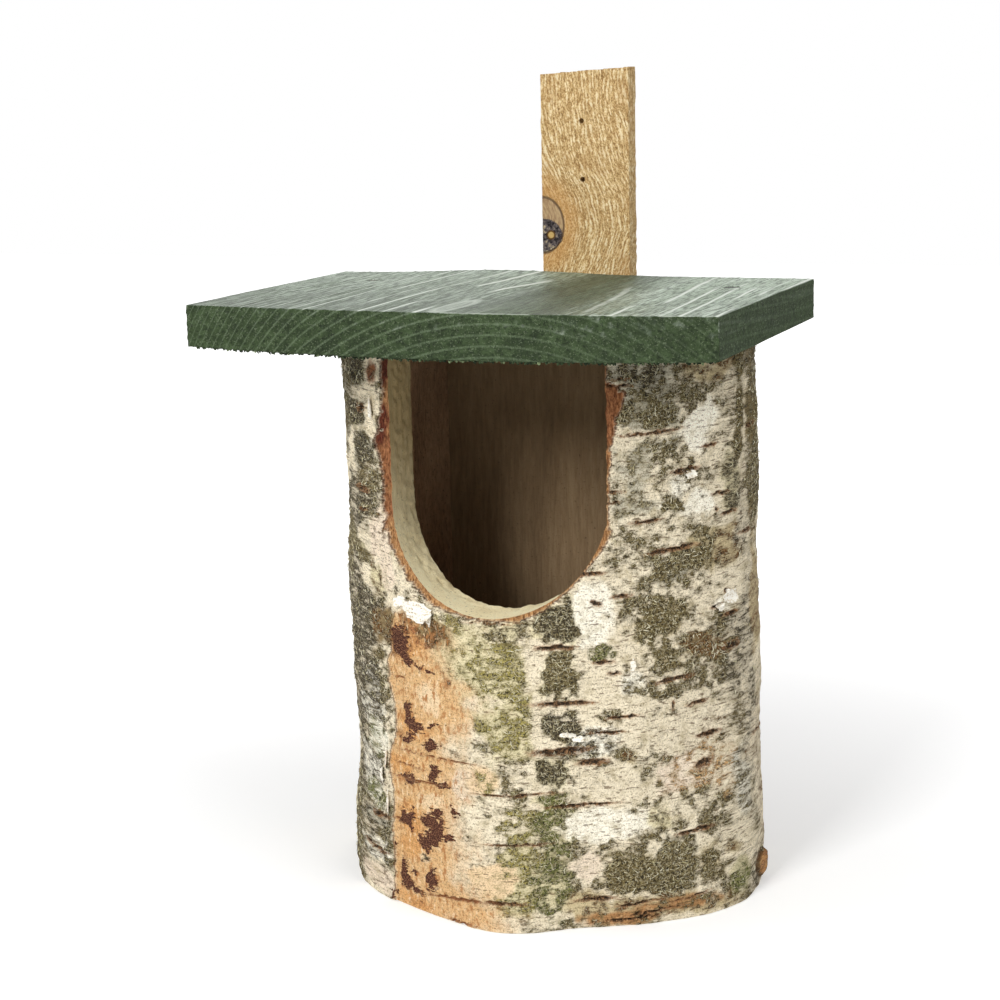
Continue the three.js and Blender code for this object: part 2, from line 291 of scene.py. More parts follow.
# The batten
BATTEN_WIDTH = 41.2
BATTEN_THICKNESS = 10.6
BATTEN_RISE = 92
BATTEN_SKEW = 2.4
BATTEN_SKEW_REACH = 30
BATTEN_FUZZ = 0.55
BATTEN_OFFSET = 3.4
BATTEN_HEIGHT = LOG_HEIGHT + ROOF_THICKNESS + BATTEN_RISE
BATTEN_ROUNDING = 0.5
BATTEN_INSET = 0.35
BATTEN_SPACING = 0.55
BATTEN_DEPTH_SPACING = 1.4
BATTEN_LOW_SPACING = 2.4
BATTEN_HIGH_SPACING = 0.7
BATTEN_EDGE = (0.25, 0.5)
TUFT_RELIEF = 0.22
KNOT_RELIEF = 0.1
HANG_HOLES = [(-1.4, 23.5), (-1.2, 49.5)]
HANG_HOLE_RADIUS = 1.2
HANG_HOLE_SIDES = 28

# The batten's grain, and the knot on its left edge
FLOW_HEIGHTS = [0, 255, 268, 284, 298, 318, 340, 356]
FLOW_LEANS = [0, 0, -4.5, -9.5, -8, -1, 3.5, 4]
TUFT_SPACING = 1.9
KNOT_ACROSS = BATTEN_OFFSET - BATTEN_WIDTH / 2
KNOT_HEIGHT = 286
KNOT_REACH = 10.4
KNOT_RISE = 13
KNOT_PUSH = 7
CORE_HEIGHT = 281.5
CORE_REACH = 9.6
CORE_RISE = 7.5
SPECK_ACROSS = KNOT_ACROSS + 3.9
SPECK_RADIUS = 1.9

# The photograph's view, in degrees, millimetres of lens and metres of place
CAMERA_AZIMUTH = 21.8
CAMERA_PITCH = 11.2
CAMERA_ROLL = -1.2
CAMERA_LENS = 77.32
CAMERA_SENSOR = 36
CAMERA_DISTANCE = 0.9446
CAMERA_RIGHT = -0.0239
CAMERA_UP = -0.0772
CAMERA_AIM_HEIGHT = 0.2458

# The studio: each lamp's azimuth, elevation, distance, size and power, the world's light, the floor
LAMPS = {
    "key": (-12, 28, 1.7, 0.5, 17),
    "right_fill": (65, 42, 1.8, 1.0, 10.5),
    "left_fill": (-75, 38, 1.8, 1.0, 5),
}
LAMP_TARGET = Vector((0, 0, 0.15))
WORLD_LIGHT = 0.42
FLOOR_HALF_SIDE = 3000
FLOOR_DROP = 0.0003
FLOOR_GREY = 0.86
FLOOR_GLOW = 0.24
FLOOR_GLOW_RISE = 0.6
FLOOR_GLOW_REACH = (0.1, 0.7)

# Bark features: angle from the front and height, then half width and half height in millimetres,
# and how far the patch climbs for each millimetre to the right
MAROON_FLAKES = [
    (-27.2, 119.2, 5.4, 6.6, 0),
    (-25.2, 112.2, 4.4, 2.5, -0.25),
    (-21.2, 109.9, 5.0, 0.9, -0.18),
    (-15.6, 108.2, 2.5, 0.95, 0),
    (-25.2, 87.6, 2.4, 5.2, 0),
    (-22.4, 82.8, 5.2, 3.0, 0),
    (-14.5, 85.6, 2.6, 0.6, 0.05),
    (-11.9, 85.4, 0.8, 0.5, 0),
    (-24.6, 76.6, 6.2, 1.5, 0),
    (-15.4, 76.6, 4.0, 2.5, 0),
    (-15.9, 72.0, 0.9, 0.8, 0),
    (-14.8, 65.4, 1.9, 3.4, 0),
    (-16.2, 61.9, 2.4, 1.5, 0.2),
    (-13.6, 59.8, 6.0, 1.5, -0.05),
    (-24.6, 58.7, 5.2, 2.2, 0),
    (-27.0, 39.8, 4.6, 3.2, 0.1),
    (-23.6, 43.4, 1.4, 2.6, 0),
    (-24.8, 35.9, 1.8, 1.8, -0.5),
    (-14.3, 47.2, 3.4, 1.6, 0),
    (-16.2, 42.2, 7.0, 2.4, 0.1),
    (-14.0, 38.2, 5.4, 1.5, 0.1),
    (-17.0, 33.8, 7.0, 3.2, 0.22),
    (-9.6, 37.3, 4.2, 1.2, -0.08),
    (-17.8, 29.2, 4.0, 0.7, 0.05),
    (-8.2, 49.2, 2.3, 1.5, -0.3),
    (-28.8, 14.6, 2.6, 6.0, 0),
    (-25.2, 9.6, 6.4, 2.3, -0.25),
    (-24.0, 17.2, 1.6, 1.4, 0),
    (-16.6, 15.6, 3.2, 4.8, 0.5),
    (-33.4, 3.0, 0.8, 2.4, 0),
    (-31.8, 2.6, 0.7, 1.6, 0),
    (-32.0, 26.4, 1.8, 1.1, -0.3),
]
DARK_CRACKS = [
    (22, 98.6, 12.5, 1.1, 0),
    (21, 78.4, 12.5, 1.3, 0.06),
    (29.5, 73.2, 6.5, 1.2, 0.06),
    (20, 122.6, 8, 1.0, 0),
    (8.5, 59.6, 18, 0.55, 0.05),
    (10, 38.2, 14, 0.6, 0.02),
    (-8, 10.6, 16, 0.7, 0.12),
    (-6, 0.6, 8, 0.45, 0),
    (6, 12.8, 9, 0.8, 0),
    (27, 54.6, 15, 0.75, 0.01),
    (33, 115.6, 4.8, 0.8, 0),
    (35.8, 110.5, 3, 0.7, 0),
    (52.5, 105.3, 9, 0.9, 0.03),
    (51.8, 94, 0.8, 2.4, 0),
    (60, 93, 6, 0.8, 0),
    (63.5, 78.6, 7, 1.0, 0),
    (61.5, 66.3, 4.5, 1.8, 0.15),
    (58, 38, 9, 0.9, 0.05),
    (41.5, 9.6, 10, 0.7, 0.12),
    (39, 2.6, 16, 0.5, 0.04),
    (46, 5.4, 12, 0.6, 0.1),
    (56, 9.4, 9, 0.5, 0.1),
    (30, 12.4, 9, 0.8, 0.02),
    (66, 201.2, 4.6, 0.7, 0),
    (70.5, 180, 7, 0.7, -0.02),
    (75, 170.8, 7, 0.8, 0),
    (57, 192.8, 8, 0.9, 0.05),
    (68.6, 174, 1.3, 0.9, -0.3),
    (29.5, 153.4, 6, 0.9, 0),
    (36.5, 186.3, 4, 0.5, 0.05),
    (36, 182, 3.2, 0.5, 0.1),
    (37.5, 229.6, 6, 0.6, 0),
    (38, 232.6, 4, 0.4, 0),
    (73.5, 127.8, 5.5, 0.8, 0),
    (68, 132.2, 4, 0.7, 0),
    (73.5, 113.6, 6, 1.7, 0),
    (45, 173.4, 7, 0.8, 0.02),
    (31, 140.8, 2.4, 1.2, -0.3),
    (38, 143, 5, 0.8, 0.05),
    (34, 85.6, 8, 0.6, 0),
    (38, 91.8, 7, 0.7, 0.05),
    (-29, 102.2, 6, 0.45, 0.06),
    (-14, 71.2, 24, 0.4, 0.02),
    (-24, 64.6, 11, 0.45, 0.04),
    (-22, 58.8, 18, 0.5, 0.06),
    (-31, 37.5, 3.6, 0.45, 0),
    (-38.5, 36.8, 6, 1.4, 0),
    (-41, 21, 9, 0.9, -0.1),
    (-43, 181.5, 6, 1.2, 0),
    (-41.5, 172.8, 4, 0.8, 0.1),
    (-44, 216, 4, 1.6, 0),
    (3, 132.6, 12, 0.4, 0.02),
    (72, 138, 2, 0.8, 0),
    (53, 160.4, 12, 0.9, 0.06),
    (47, 209.6, 14, 0.7, 0.02),
    (84, 160, 8, 0.8, -0.05),
    (90, 205, 7, 0.8, 0),
    (93, 120, 9, 0.8, 0.02),
    (88, 70, 8, 0.8, 0),
    (96, 40, 9, 0.8, 0.03),
    (-66, 190, 8, 0.9, 0.03),
    (-75, 150, 10, 0.8, 0),
    (-68, 110, 8, 0.8, -0.04),
    (-82, 80, 10, 0.9, 0.03),
    (-70, 45, 9, 0.8, 0),
    (-90, 215, 9, 0.8, 0.02),
    (-95, 125, 8, 0.8, 0),
    (-98, 35, 8, 0.8, 0),
]

# Colours of bark and growth
PALETTE = {
    "cream": (228, 216, 190),
    "white": (246, 240, 222),
    "pink": (228, 212, 190),
    "buff": (200, 184, 146),
    "yellow": (216, 205, 168),
    "grey": (194, 187, 166),
    "drab": (146, 128, 92),
    "torn": (178, 142, 100),
    "tan": (210, 172, 124),
    "peach": (226, 200, 162),
    "orange": (208, 158, 102),
    "rust": (150, 100, 66),
    "bared": (176, 132, 88),
    "red": (128, 66, 42),
    "maroon": (98, 50, 34),
    "black": (48, 41, 29),
    "olive": (84, 74, 46),
    "moss": (88, 94, 48),
    "brown": (98, 68, 40),
    "ash": (116, 108, 84),
    "sage": (136, 128, 72),
}

# Patches of bark: angle and height, half width in degrees and half height in millimetres, pale colour,
# colour of the growth on it, and how much of the patch the growth covers. Each is laid over the ones
# before.
REGIONS = [
    (-50, 123, 18, 130, "cream", "black", 0.56),
    (-47, 233, 14, 13, "grey", "black", 0.84),
    (-38, 233, 5, 10, "rust", "maroon", 0.5),
    (-48, 214, 14, 11, "grey", "black", 0.86),
    (-46, 196, 12, 18, "grey", "black", 0.7),
    (-59, 204, 8, 26, "grey", "olive", 0.62),
    (-58, 158, 8, 16, "yellow", "olive", 0.6),
    (-43, 180, 10, 6, "cream", "black", 0.6),
    (-36, 160, 8, 12, "pink", "brown", 0.18),
    (-38, 144, 6, 9, "yellow", "brown", 0.4),
    (-31.5, 150, 3, 9, "pink", "ash", 0.08),
    (-46, 154, 9, 14, "yellow", "olive", 0.6),
    (-42, 124, 13, 14, "cream", "black", 0.62),
    (-50, 116, 12, 14, "cream", "black", 0.66),
    (-34, 122, 6, 10, "drab", "brown", 0.6),
    (-37, 110, 6, 4, "drab", "olive", 0.5),
    (-42, 97, 10, 10, "white", "black", 0.6),
    (-44, 84, 9, 8, "white", "black", 0.5),
    (-40, 70, 8, 8, "white", "moss", 0.42),
    (-46, 56, 10, 9, "white", "black", 0.46),
    (-41, 44, 8, 6, "white", "moss", 0.5),
    (-43, 35, 8, 4, "grey", "black", 0.5),
    (-42, 20, 12, 6, "white", "black", 0.46),
    (-42, 7, 12, 7, "pink", "brown", 0.24),
    (-1, 60, 12, 75, "cream", "ash", 0.22),
    (0, 113, 14, 22, "yellow", "sage", 0.48),
    (8, 110, 8, 28, "yellow", "sage", 0.6),
    (2, 98, 6, 4, "cream", "sage", 0.2),
    (8, 129, 10, 7, "yellow", "olive", 0.52),
    (8, 82, 10, 18, "yellow", "sage", 0.56),
    (1, 65, 6, 8, "peach", "sage", 0.34),
    (10, 48, 10, 12, "cream", "sage", 0.54),
    (12, 22, 10, 20, "yellow", "sage", 0.54),
    (2, 24, 7, 8, "peach", "sage", 0.2),
    (21.5, 134, 7, 13, "yellow", "black", 0.86),
    (20.5, 109, 7.2, 13, "yellow", "olive", 0.94),
    (20, 88, 8, 11, "cream", "black", 0.78),
    (18, 69, 7.5, 12, "yellow", "black", 0.78),
    (20, 78, 9, 5, "cream", "black", 0.56),
    (17, 58, 8, 5, "yellow", "moss", 0.72),
    (19, 46, 7, 13, "yellow", "moss", 0.74),
    (20, 22, 6, 18, "yellow", "moss", 0.62),
    (18, 4, 6, 6, "cream", "moss", 0.4),
    (33, 110, 8, 33, "cream", "olive", 0.08),
    (30, 136, 6, 14, "white", "olive", 0.1),
    (35, 62, 12, 14, "cream", "olive", 0.1),
    (33, 45, 12, 8, "white", "ash", 0.08),
    (38, 92, 7, 3.4, "cream", "olive", 0.66),
    (33, 84, 6, 4, "white", "brown", 0.5),
    (39.5, 75, 3, 4, "buff", "brown", 0.72),
    (29, 80, 8, 6, "white", "black", 0.44),
    (41, 108, 4, 6, "white", "olive", 0.5),
    (33, 119, 4.4, 4, "cream", "moss", 0.66),
    (28, 27, 6, 8, "pink", "ash", 0.14),
    (28, 10, 7, 9, "buff", "brown", 0.25),
    (46, 228, 12, 16, "grey", "olive", 0.42),
    (47, 216, 13, 7, "grey", "olive", 0.78),
    (45, 236, 8, 6, "grey", "black", 0.6),
    (42, 195, 8, 22, "grey", "ash", 0.36),
    (52, 204, 6, 6, "grey", "olive", 0.6),
    (55, 188, 8, 9, "white", "olive", 0.28),
    (59, 193.5, 4, 3, "grey", "black", 0.72),
    (53.5, 178, 3.4, 5, "grey", "olive", 0.78),
    (50, 170, 12, 6, "cream", "olive", 0.36),
    (51, 151, 11, 11, "grey", "olive", 0.8),
    (50, 133, 12, 13, "buff", "olive", 0.84),
    (51, 115, 11, 10, "buff", "olive", 0.76),
    (60, 118, 13, 8, "drab", "brown", 0.72),
    (51, 95, 12, 7, "cream", "olive", 0.12),
    (46, 83, 10, 12, "cream", "olive", 0.14),
    (48, 68, 6, 6, "cream", "olive", 0.46),
    (60, 84, 12, 12, "cream", "brown", 0.18),
    (62, 62, 12, 9, "pink", "torn", 0.34),
    (50, 46, 5, 6, "yellow", "olive", 0.4),
    (58, 48, 9, 8, "cream", "olive", 0.22),
    (41, 25, 11, 12, "buff", "olive", 0.86),
    (53, 26, 13, 15, "grey", "olive", 0.88),
    (62, 24, 7, 13, "buff", "olive", 0.7),
    (46, 6, 22, 7, "buff", "brown", 0.42),
    (38, 3.4, 16, 3.8, "bared", "olive", 0.3),
    (54, 7.4, 13, 3.6, "bared", "olive", 0.4),
    (66, 232, 11, 8, "buff", "brown", 0.38),
    (67, 213, 12, 15, "white", "brown", 0.05),
    (62, 178, 6, 10, "white", "olive", 0.12),
    (77, 186, 7, 18, "yellow", "black", 0.52),
    (64, 158, 7, 14, "buff", "olive", 0.6),
    (75, 156, 8, 12, "buff", "brown", 0.46),
    (72, 134, 8, 4.5, "white", "brown", 0.08),
    (77, 122, 8, 7, "cream", "black", 0.48),
    (76, 102, 8, 14, "cream", "black", 0.46),
    (68, 62, 8, 14, "cream", "torn", 0.34),
    (78, 50, 6, 22, "white", "olive", 0.5),
    (77, 84, 6, 14, "cream", "olive", 0.52),
    (71, 26, 7, 6, "buff", "brown", 0.52),
    (74, 14, 6, 8, "yellow", "moss", 0.5),
    (84, 100, 7, 90, "cream", "black", 0.44),
    (81, 208, 5, 26, "drab", "olive", 0.8),
    (92, 208, 8, 30, "drab", "olive", 0.56),
    (93, 130, 8, 36, "buff", "brown", 0.4),
    (92, 50, 10, 40, "cream", "brown", 0.36),
]
RIM_REGIONS = [
    (3, 190, 1000, 1000, "bared", "rust", 0.35),
    (-36, 192, 9, 34, "rust", "red", 0.5),
    (-36, 232, 9, 34, "maroon", "black", 0.4),
    (34, 220, 6, 22, "rust", "red", 0.6),
]
PEEL_REGIONS = [
    (-18, 96, 8, 9, "peach", "rust", 0.03),
    (-28, 40, 6, 8, "orange", "rust", 0.1),
    (-24, 84, 8, 8, "orange", "rust", 0.08),
    (-21, 127, 10, 6, "torn", "brown", 0.5),
    (-20, 120, 8, 5, "orange", "rust", 0.4),
    (-22, 114.5, 8, 3.4, "orange", "rust", 0.12),
    (-31, 119, 4, 8, "bared", "brown", 0.5),
    (-13, 123, 5, 7, "drab", "brown", 0.6),
    (-30, 77, 4, 4, "bared", "rust", 0.2),
    (-28, 64, 7, 5, "orange", "rust", 0.12),
    (-10, 105, 2, 5, "bared", "rust", 0.3),
    (-26, 28, 7, 7, "orange", "rust", 0.08),
    (-24, 3, 8, 4, "orange", "rust", 0.12),
    (-19.5, 24.5, 2.4, 2.0, "peach", "black", 0.4),
    (-6, 60, 5, 8, "pink", "ash", 0.08),
    (-14, 52, 6, 5, "peach", "rust", 0.04),
]

# Loose sheets of bark: angle and height, half width and half height in millimetres,
# the way in which the free edge points in degrees from the right, and how far it lifts
CURLS = [
    (-19.2, 133.8, 7.6, 4.2, -50, 1.6),
    (-25.4, 136.6, 3.4, 2.4, 200, 1.2),
    (-15.2, 131.4, 2.4, 3.0, -20, 1.8),
    (-37.4, 217, 2.2, 4.2, 20, 1.4),
    (40.6, 113.4, 1.0, 2.8, 10, 1.2),
    (23, 85.4, 3.4, 1.2, 60, 1.2),
    (26, 83.6, 2.6, 1.0, -70, 1.0),
    (73.6, 135.2, 4.6, 2.6, -60, 1.2),
    (69.2, 131.4, 2.6, 1.6, 200, 1.0),
    (-37, 55.5, 1.8, 3.4, 0, 1.0),
    (-34.6, 44, 1.2, 5.0, 0, 1.0),
    (-34.8, 64, 1.2, 3.6, 0, 1.0),
    (59, 190.6, 3.0, 1.4, -80, 1.0),
]

# The peeled strip's ground, and the stub's edge and sawn wood: regions that cover everything
PEEL_GROUND = [(-20, 60, 1000, 1000, "tan", "rust", 0.05)]
STUB_EDGE = [(STUB_ANGLE, 0, 1000, 1000, "brown", "black", 0.5)]
STUB_WOOD = [(STUB_ANGLE, 0, 1000, 1000, "orange", "rust", 0.5)]

# Sawn wood's dark, middle and light tones, and how a painted shade darkens it: axis, from, to, and factors
CUT_BIRCH = [(226, 207, 162), (250, 235, 192), (255, 246, 208)]
# Painted shade: the log's sawn faces, such as the mouth's, darker towards the top, under the roof
CUT_BIRCH_PAINTED_SHADE = (2, 0.15, 0.215, (0.5, 0.43, 0.34))
BORED_BIRCH = [(150, 118, 92), (196, 160, 128), (222, 186, 152)]
# Painted shade: the bore's wall darker towards the back
BORED_BIRCH_PAINTED_SHADE = (1, -0.03, 0.028, (0.62, 0.6, 0.56))
# The back board's tones are kept dark to match the bored wall's painted shade where the two meet: partly
# painted shade
BOARD_WOOD = [(120, 98, 72), (140, 116, 86), (156, 132, 100)]
FLOOR_WOOD = [(140, 112, 76), (182, 152, 108), (206, 180, 136)]

# Tones of the threads and the splinters, of steel, and of the batten's wood: position, then colour
LICHEN_TONES = [(0.1, 54, 48, 30), (0.4, 128, 118, 78), (0.62, 204, 194, 152), (0.9, 236, 230, 202)]
SLIVER_TONES = [(0.2, 30, 40, 24), (0.6, 66, 80, 52), (0.95, 128, 142, 104)]
ZINC_TONES = [(0.3, 120, 116, 100), (0.6, 176, 172, 156)]
WIRE_TONES = [(0.3, 104, 100, 96), (0.6, 156, 154, 150)]
BATTEN_TONES = [
    (0.36, 122, 92, 54),
    (0.44, 172, 136, 86),
    (0.5, 206, 174, 122),
    (0.56, 226, 200, 152),
    (0.64, 242, 226, 188),
]
CORE_TONES = [(0.38, 30, 26, 26), (0.5, 84, 76, 78), (0.6, 130, 118, 108), (0.68, 206, 186, 146)]


def srgb(red, green, blue):
    """A colour as it looks on a screen, 0 to 255, turned into the linear colour that a shader takes."""
    linear = [
        v / 12.92 if v <= 0.04045 else ((v + 0.055) / 1.055) ** 2.4
        for v in (red / 255, green / 255, blue / 255)
    ]
    return (*linear, 1.0)


def factors(red, green, blue):
    """What to multiply each channel of a colour by, as a shader takes it."""
    return (red, green, blue, 1.0)


def ease(t):
    t = np.clip(t, 0, 1)
    return t * t * (3 - 2 * t)


def value_noise(x, y, cell, seed):
    """Soft random bumps from -1 to 1, about one in each cell."""
    table = np.random.default_rng(seed).uniform(-1, 1, (NOISE_SIDE, NOISE_SIDE))
    gx = x / cell
    gy = y / cell
    ix = np.floor(gx).astype(int)
    iy = np.floor(gy).astype(int)
    fx = ease(gx - ix)
    fy = ease(gy - iy)

    def knot(a, b):
        return table[a % NOISE_SIDE, b % NOISE_SIDE]

    low = knot(ix, iy) * (1 - fx) + knot(ix + 1, iy) * fx
    high = knot(ix, iy + 1) * (1 - fx) + knot(ix + 1, iy + 1) * fx
    return low * (1 - fy) + high * fy


def layered(x, y, cell, layers, seed):
    """Noise of several sizes, each half as large and half as strong as the one before."""
    total = np.zeros_like(x, dtype=float)
    for layer in range(layers):
        total = total + value_noise(x, y, cell / 2**layer, seed + layer) / 2**layer
    return total / (2 - 2 ** (1 - layers))


def mesh_object(name, points, faces, materials=(), slots=0):
    """A piece from its points in millimetres, with one material slot or one for each face."""
    mesh = bpy.data.meshes.new(name)
    mesh.from_pydata((np.array(points, float) * MM).tolist(), [], faces)
    for material in materials:
        mesh.materials.append(material)
    mesh.polygons.foreach_set("material_index", np.broadcast_to(slots, len(faces)).tolist())
    mesh.validate()
    piece = bpy.data.objects.new(name, mesh)
    bpy.context.scene.collection.objects.link(piece)
    return piece


def place(piece, slot, *nodes):
    """A finished piece: it rides on the only body and stands for its nodes; its slot is not used."""
    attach(piece, "root")
    if nodes:
        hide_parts(*nodes)


def smooth_by_angle(piece, degrees):
    piece.data.shade_smooth()
    piece.data.set_sharp_from_angle(angle=math.radians(degrees))


def weld(mesh):
    """Take out the slivers that a cut leaves, and faces folded flat on themselves."""
    mesh.validate()
    skin = bmesh.new()
    skin.from_mesh(mesh)
    bmesh.ops.remove_doubles(skin, verts=skin.verts, dist=WELD_DISTANCE * MM)
    bmesh.ops.dissolve_degenerate(skin, edges=skin.edges, dist=WELD_DISTANCE * MM)
    folded = [face for face in skin.faces if all(edge.is_boundary for edge in face.edges)]
    bmesh.ops.delete(skin, geom=folded, context="FACES")
    skin.to_mesh(mesh)
    skin.free()


def cut(piece, tools):
    """Cut the tools' shapes out of a piece, which keeps each tool's material on the faces it leaves."""
    for tool in tools:
        step = piece.modifiers.new("cut", "BOOLEAN")
        step.operation = "DIFFERENCE"
        step.solver = "MANIFOLD"
        step.object = tool
    graph = bpy.context.evaluated_depsgraph_get()
    mesh = bpy.data.meshes.new_from_object(piece.evaluated_get(graph), depsgraph=graph)
    weld(mesh)
    piece.modifiers.clear()
    old = piece.data
    piece.data = mesh
    bpy.data.meshes.remove(old)
    for tool in tools:
        bpy.data.objects.remove(tool)


def points_of(mesh):
    """The vertices of a mesh in millimetres."""
    flat = np.zeros(len(mesh.vertices) * 3, np.float32)
    mesh.vertices.foreach_get("co", flat)
    return flat.reshape(-1, 3).astype(float) / MM


def store(mesh, name, values):
    """Keep a number, a place or a colour for each vertex, for the materials to read."""
    values = np.asarray(values, np.float32)
    kind = "FLOAT" if values.ndim == 1 else {3: "FLOAT_VECTOR", 4: "FLOAT_COLOR"}[values.shape[1]]
    key = {"FLOAT": "value", "FLOAT_VECTOR": "vector", "FLOAT_COLOR": "color"}[kind]
    attribute = mesh.attributes.new(name, kind, "POINT")
    attribute.data.foreach_set(key, values.ravel())


class Value:
    """One output of a node. Its sums and products are nodes too."""

    def __init__(self, nodes, socket):
        self.nodes = nodes
        self.socket = socket

    def __add__(self, other):
        return self.nodes.math("ADD", self, other)

    def __sub__(self, other):
        return self.nodes.math("SUBTRACT", self, other)

    def __rsub__(self, other):
        return self.nodes.math("SUBTRACT", other, self)

    def __mul__(self, other):
        return self.nodes.math("MULTIPLY", self, other)

    def __pow__(self, other):
        return self.nodes.math("POWER", self, other)

    def __abs__(self):
        return self.nodes.math("ABSOLUTE", self)

    __radd__ = __add__
    __rmul__ = __mul__


class Nodes:
    """A node tree, built by short calls."""

    def __init__(self, tree):
        self.tree = tree
        self.tree.nodes.clear()

    def feed(self, socket, value):
        if isinstance(value, Value):
            self.tree.links.new(value.socket, socket)
        else:
            socket.default_value = value

    def node(self, kind, inputs, **settings):
        node = self.tree.nodes.new(kind)
        for key, setting in settings.items():
            setattr(node, key, setting)
        for key, value in inputs.items():
            self.feed(node.inputs[key], value)
        return node

    def value(self, kind, inputs, output=0, **settings):
        return Value(self, self.node(kind, inputs, **settings).outputs[output])

    def math(self, operation, first, second=0.0):
        return self.value("ShaderNodeMath", {0: first, 1: second}, operation=operation)

    def step(self, value, low, high):
        """0 on the low value's side, 1 on the high one's, and an eased climb between."""
        inputs = {"Value": value, "From Min": low, "From Max": high}
        return self.value("ShaderNodeMapRange", inputs, "Result", interpolation_type="SMOOTHSTEP")

    def split(self, vector):
        """The x, y and z of a vector."""
        return [Value(self, axis) for axis in self.node("ShaderNodeSeparateXYZ", {0: vector}).outputs]

    def rays(self, *names):
        """Whether the ray is of each of these kinds."""
        path = self.node("ShaderNodeLightPath", {})
        return [Value(self, path.outputs[name]) for name in names]

    def attribute(self, name, output="Fac"):
        return self.value("ShaderNodeAttribute", {}, output, attribute_name=name)

    def spot(self):
        """The piece's own coordinates, in metres."""
        return self.value("ShaderNodeTexCoord", {}, "Object")

    def noise(self, vector, size, detail, roughness, stretch=None, distortion=0.0):
        """Noise whose bumps are about this many metres across, closer together where it is stretched."""
        if stretch is not None:
            vector = self.value("ShaderNodeVectorMath", {0: vector, 1: stretch}, operation="MULTIPLY")
        inputs = {"Vector": vector, "Scale": 1 / size, "Detail": detail, "Roughness": roughness}
        return self.value("ShaderNodeTexNoise", {**inputs, "Distortion": distortion}, "Fac")

    def strokes(self, vector, spacing, length, width, shift):
        """Short straight strokes in every direction, one to a cell: 1 on a stroke; and a tone for each."""
        moved = self.value("ShaderNodeVectorMath", {0: vector, 1: (shift, 1.7 * shift, 0)}, operation="ADD")
        inputs = {"Vector": moved, "Scale": 1 / spacing}
        cells = self.node("ShaderNodeTexVoronoi", inputs, voronoi_dimensions="2D")
        middle = Value(self, cells.outputs["Position"])
        x, y, _ = self.split(self.value("ShaderNodeVectorMath", {0: moved, 1: middle}, operation="SUBTRACT"))
        heading, tone, _ = self.split(Value(self, cells.outputs["Color"]))
        sine = self.math("SINE", heading * math.pi)
        cosine = self.math("COSINE", heading * math.pi)
        narrow = self.step(abs(x * sine - y * cosine), width, width * 0.5)
        short = self.step(abs(x * cosine + y * sine), length, length * 0.7)
        return narrow * short, tone

    def ramp(self, value, *stops, convert=srgb):
        """Colours by value: each stop is a position, then red, green and blue."""
        node = self.node("ShaderNodeValToRGB", {0: value})
        elements = node.color_ramp.elements
        while len(elements) < len(stops):
            elements.new(0.5)
        for element, (position, *colour) in zip(elements, stops):
            element.position = position
            element.color = convert(*colour)
        return Value(self, node.outputs["Color"])

    def mix(self, share, first, second, blend="MIX"):
        """The second colour over the first, to a share."""
        inputs = {0: share, 6: first, 7: second}
        return self.value("ShaderNodeMix", inputs, 2, data_type="RGBA", blend_type=blend)

    def times(self, first, second):
        return self.mix(1.0, first, second, "MULTIPLY")


class Shader(Nodes):
    """A material, whose colour is laid on in coats."""

    def __init__(self, name):
        self.material = bpy.data.materials.new(name)
        self.material.use_nodes = True
        super().__init__(self.material.node_tree)
        self.surface = self.node("ShaderNodeBsdfPrincipled", {})
        output = self.node("ShaderNodeOutputMaterial", {})
        self.tree.links.new(self.surface.outputs[0], output.inputs[0])
        self.colour = (1, 1, 1, 1)

    def lay(self, colour, share):
        """Lay a colour, or a node's colours, over what is there."""
        colour = colour if isinstance(colour, Value) else srgb(*colour)
        self.colour = self.mix(share, self.colour, colour)

    def finish(self, roughness, specular, metallic=0.0, height=None, depth=0.0):
        """The finished material, with fine relief from a height, this many metres deep."""
        inputs = {"Base Color": self.colour, "Roughness": roughness, "Metallic": metallic}
        if height is not None:
            relief = {"Strength": 1.0, "Distance": depth, "Height": height}
            inputs["Normal"] = self.value("ShaderNodeBump", relief, "Normal")
        inputs["Specular IOR Level"] = specular
        for name, value in inputs.items():
            self.feed(self.surface.inputs[name], value)
        return self.material


def bark_radius(angle, height):
    """Radius of the plain trunk at an angle from the front, in radians, and a height, in millimetres."""
    drop = 1 - height / LOG_HEIGHT
    swelling = 0
    for spot, spread, swell in BUTT_LOBES:
        turn = (np.degrees(angle) - spot + 180) % 360 - 180
        swelling = swelling + swell * np.exp(-((turn / spread) ** 2))
    climb = height / LOG_HEIGHT * WAVES_UP * 2 * math.pi
    wave = np.sin(WAVES_AROUND * angle + WAVE_TWIST * np.sin(climb)) * np.cos(climb)
    taper = LOG_TOP_RADIUS + (LOG_BASE_RADIUS - LOG_TOP_RADIUS) * drop
    return taper + swelling * np.maximum(drop, 0) ** LOBE_POWER + WAVE_HEIGHT * wave


def patch_depth(arc, height, patches, wander, cell, seed, squareness):
    """How far inside the nearest patch each point lies: 1 at its middle, 0 at its ragged edge."""
    dx = wander * layered(arc, height, cell, 3, seed)
    dy = wander * layered(arc, height, cell, 3, seed + 50)
    depth = np.full_like(arc, -1.0)
    for angle, level, half_width, half_height, climb in patches:
        across = arc - angle * DEGREE
        u = (across + dx) / half_width
        v = (height - level - climb * across + dy) / half_height
        depth = np.maximum(depth, 1 - (np.abs(u) ** squareness + v**2) ** 0.5)
    return depth


def peel_share(arc, height):
    """The long strip where the outer bark has come off: sharp on its left, fading on its right."""
    left = arc + 1.4 * layered(arc, height, 3.0, 3, 301)
    left = left - DEGREE * np.interp(height, PEEL_HEIGHTS, PEEL_LEFT)
    right = np.interp(height, PEEL_HEIGHTS, PEEL_RIGHT) - arc / DEGREE
    right = right + 6.0 * layered(arc, height, 7.0, 5, 311)
    top = PEEL_TOP - height + 2.5 * layered(arc, height, 4.0, 3, 321)
    return ease(left / PEEL_LEFT_FADE) * ease(right / PEEL_RIGHT_FADE) * ease(top / PEEL_TOP_FADE)


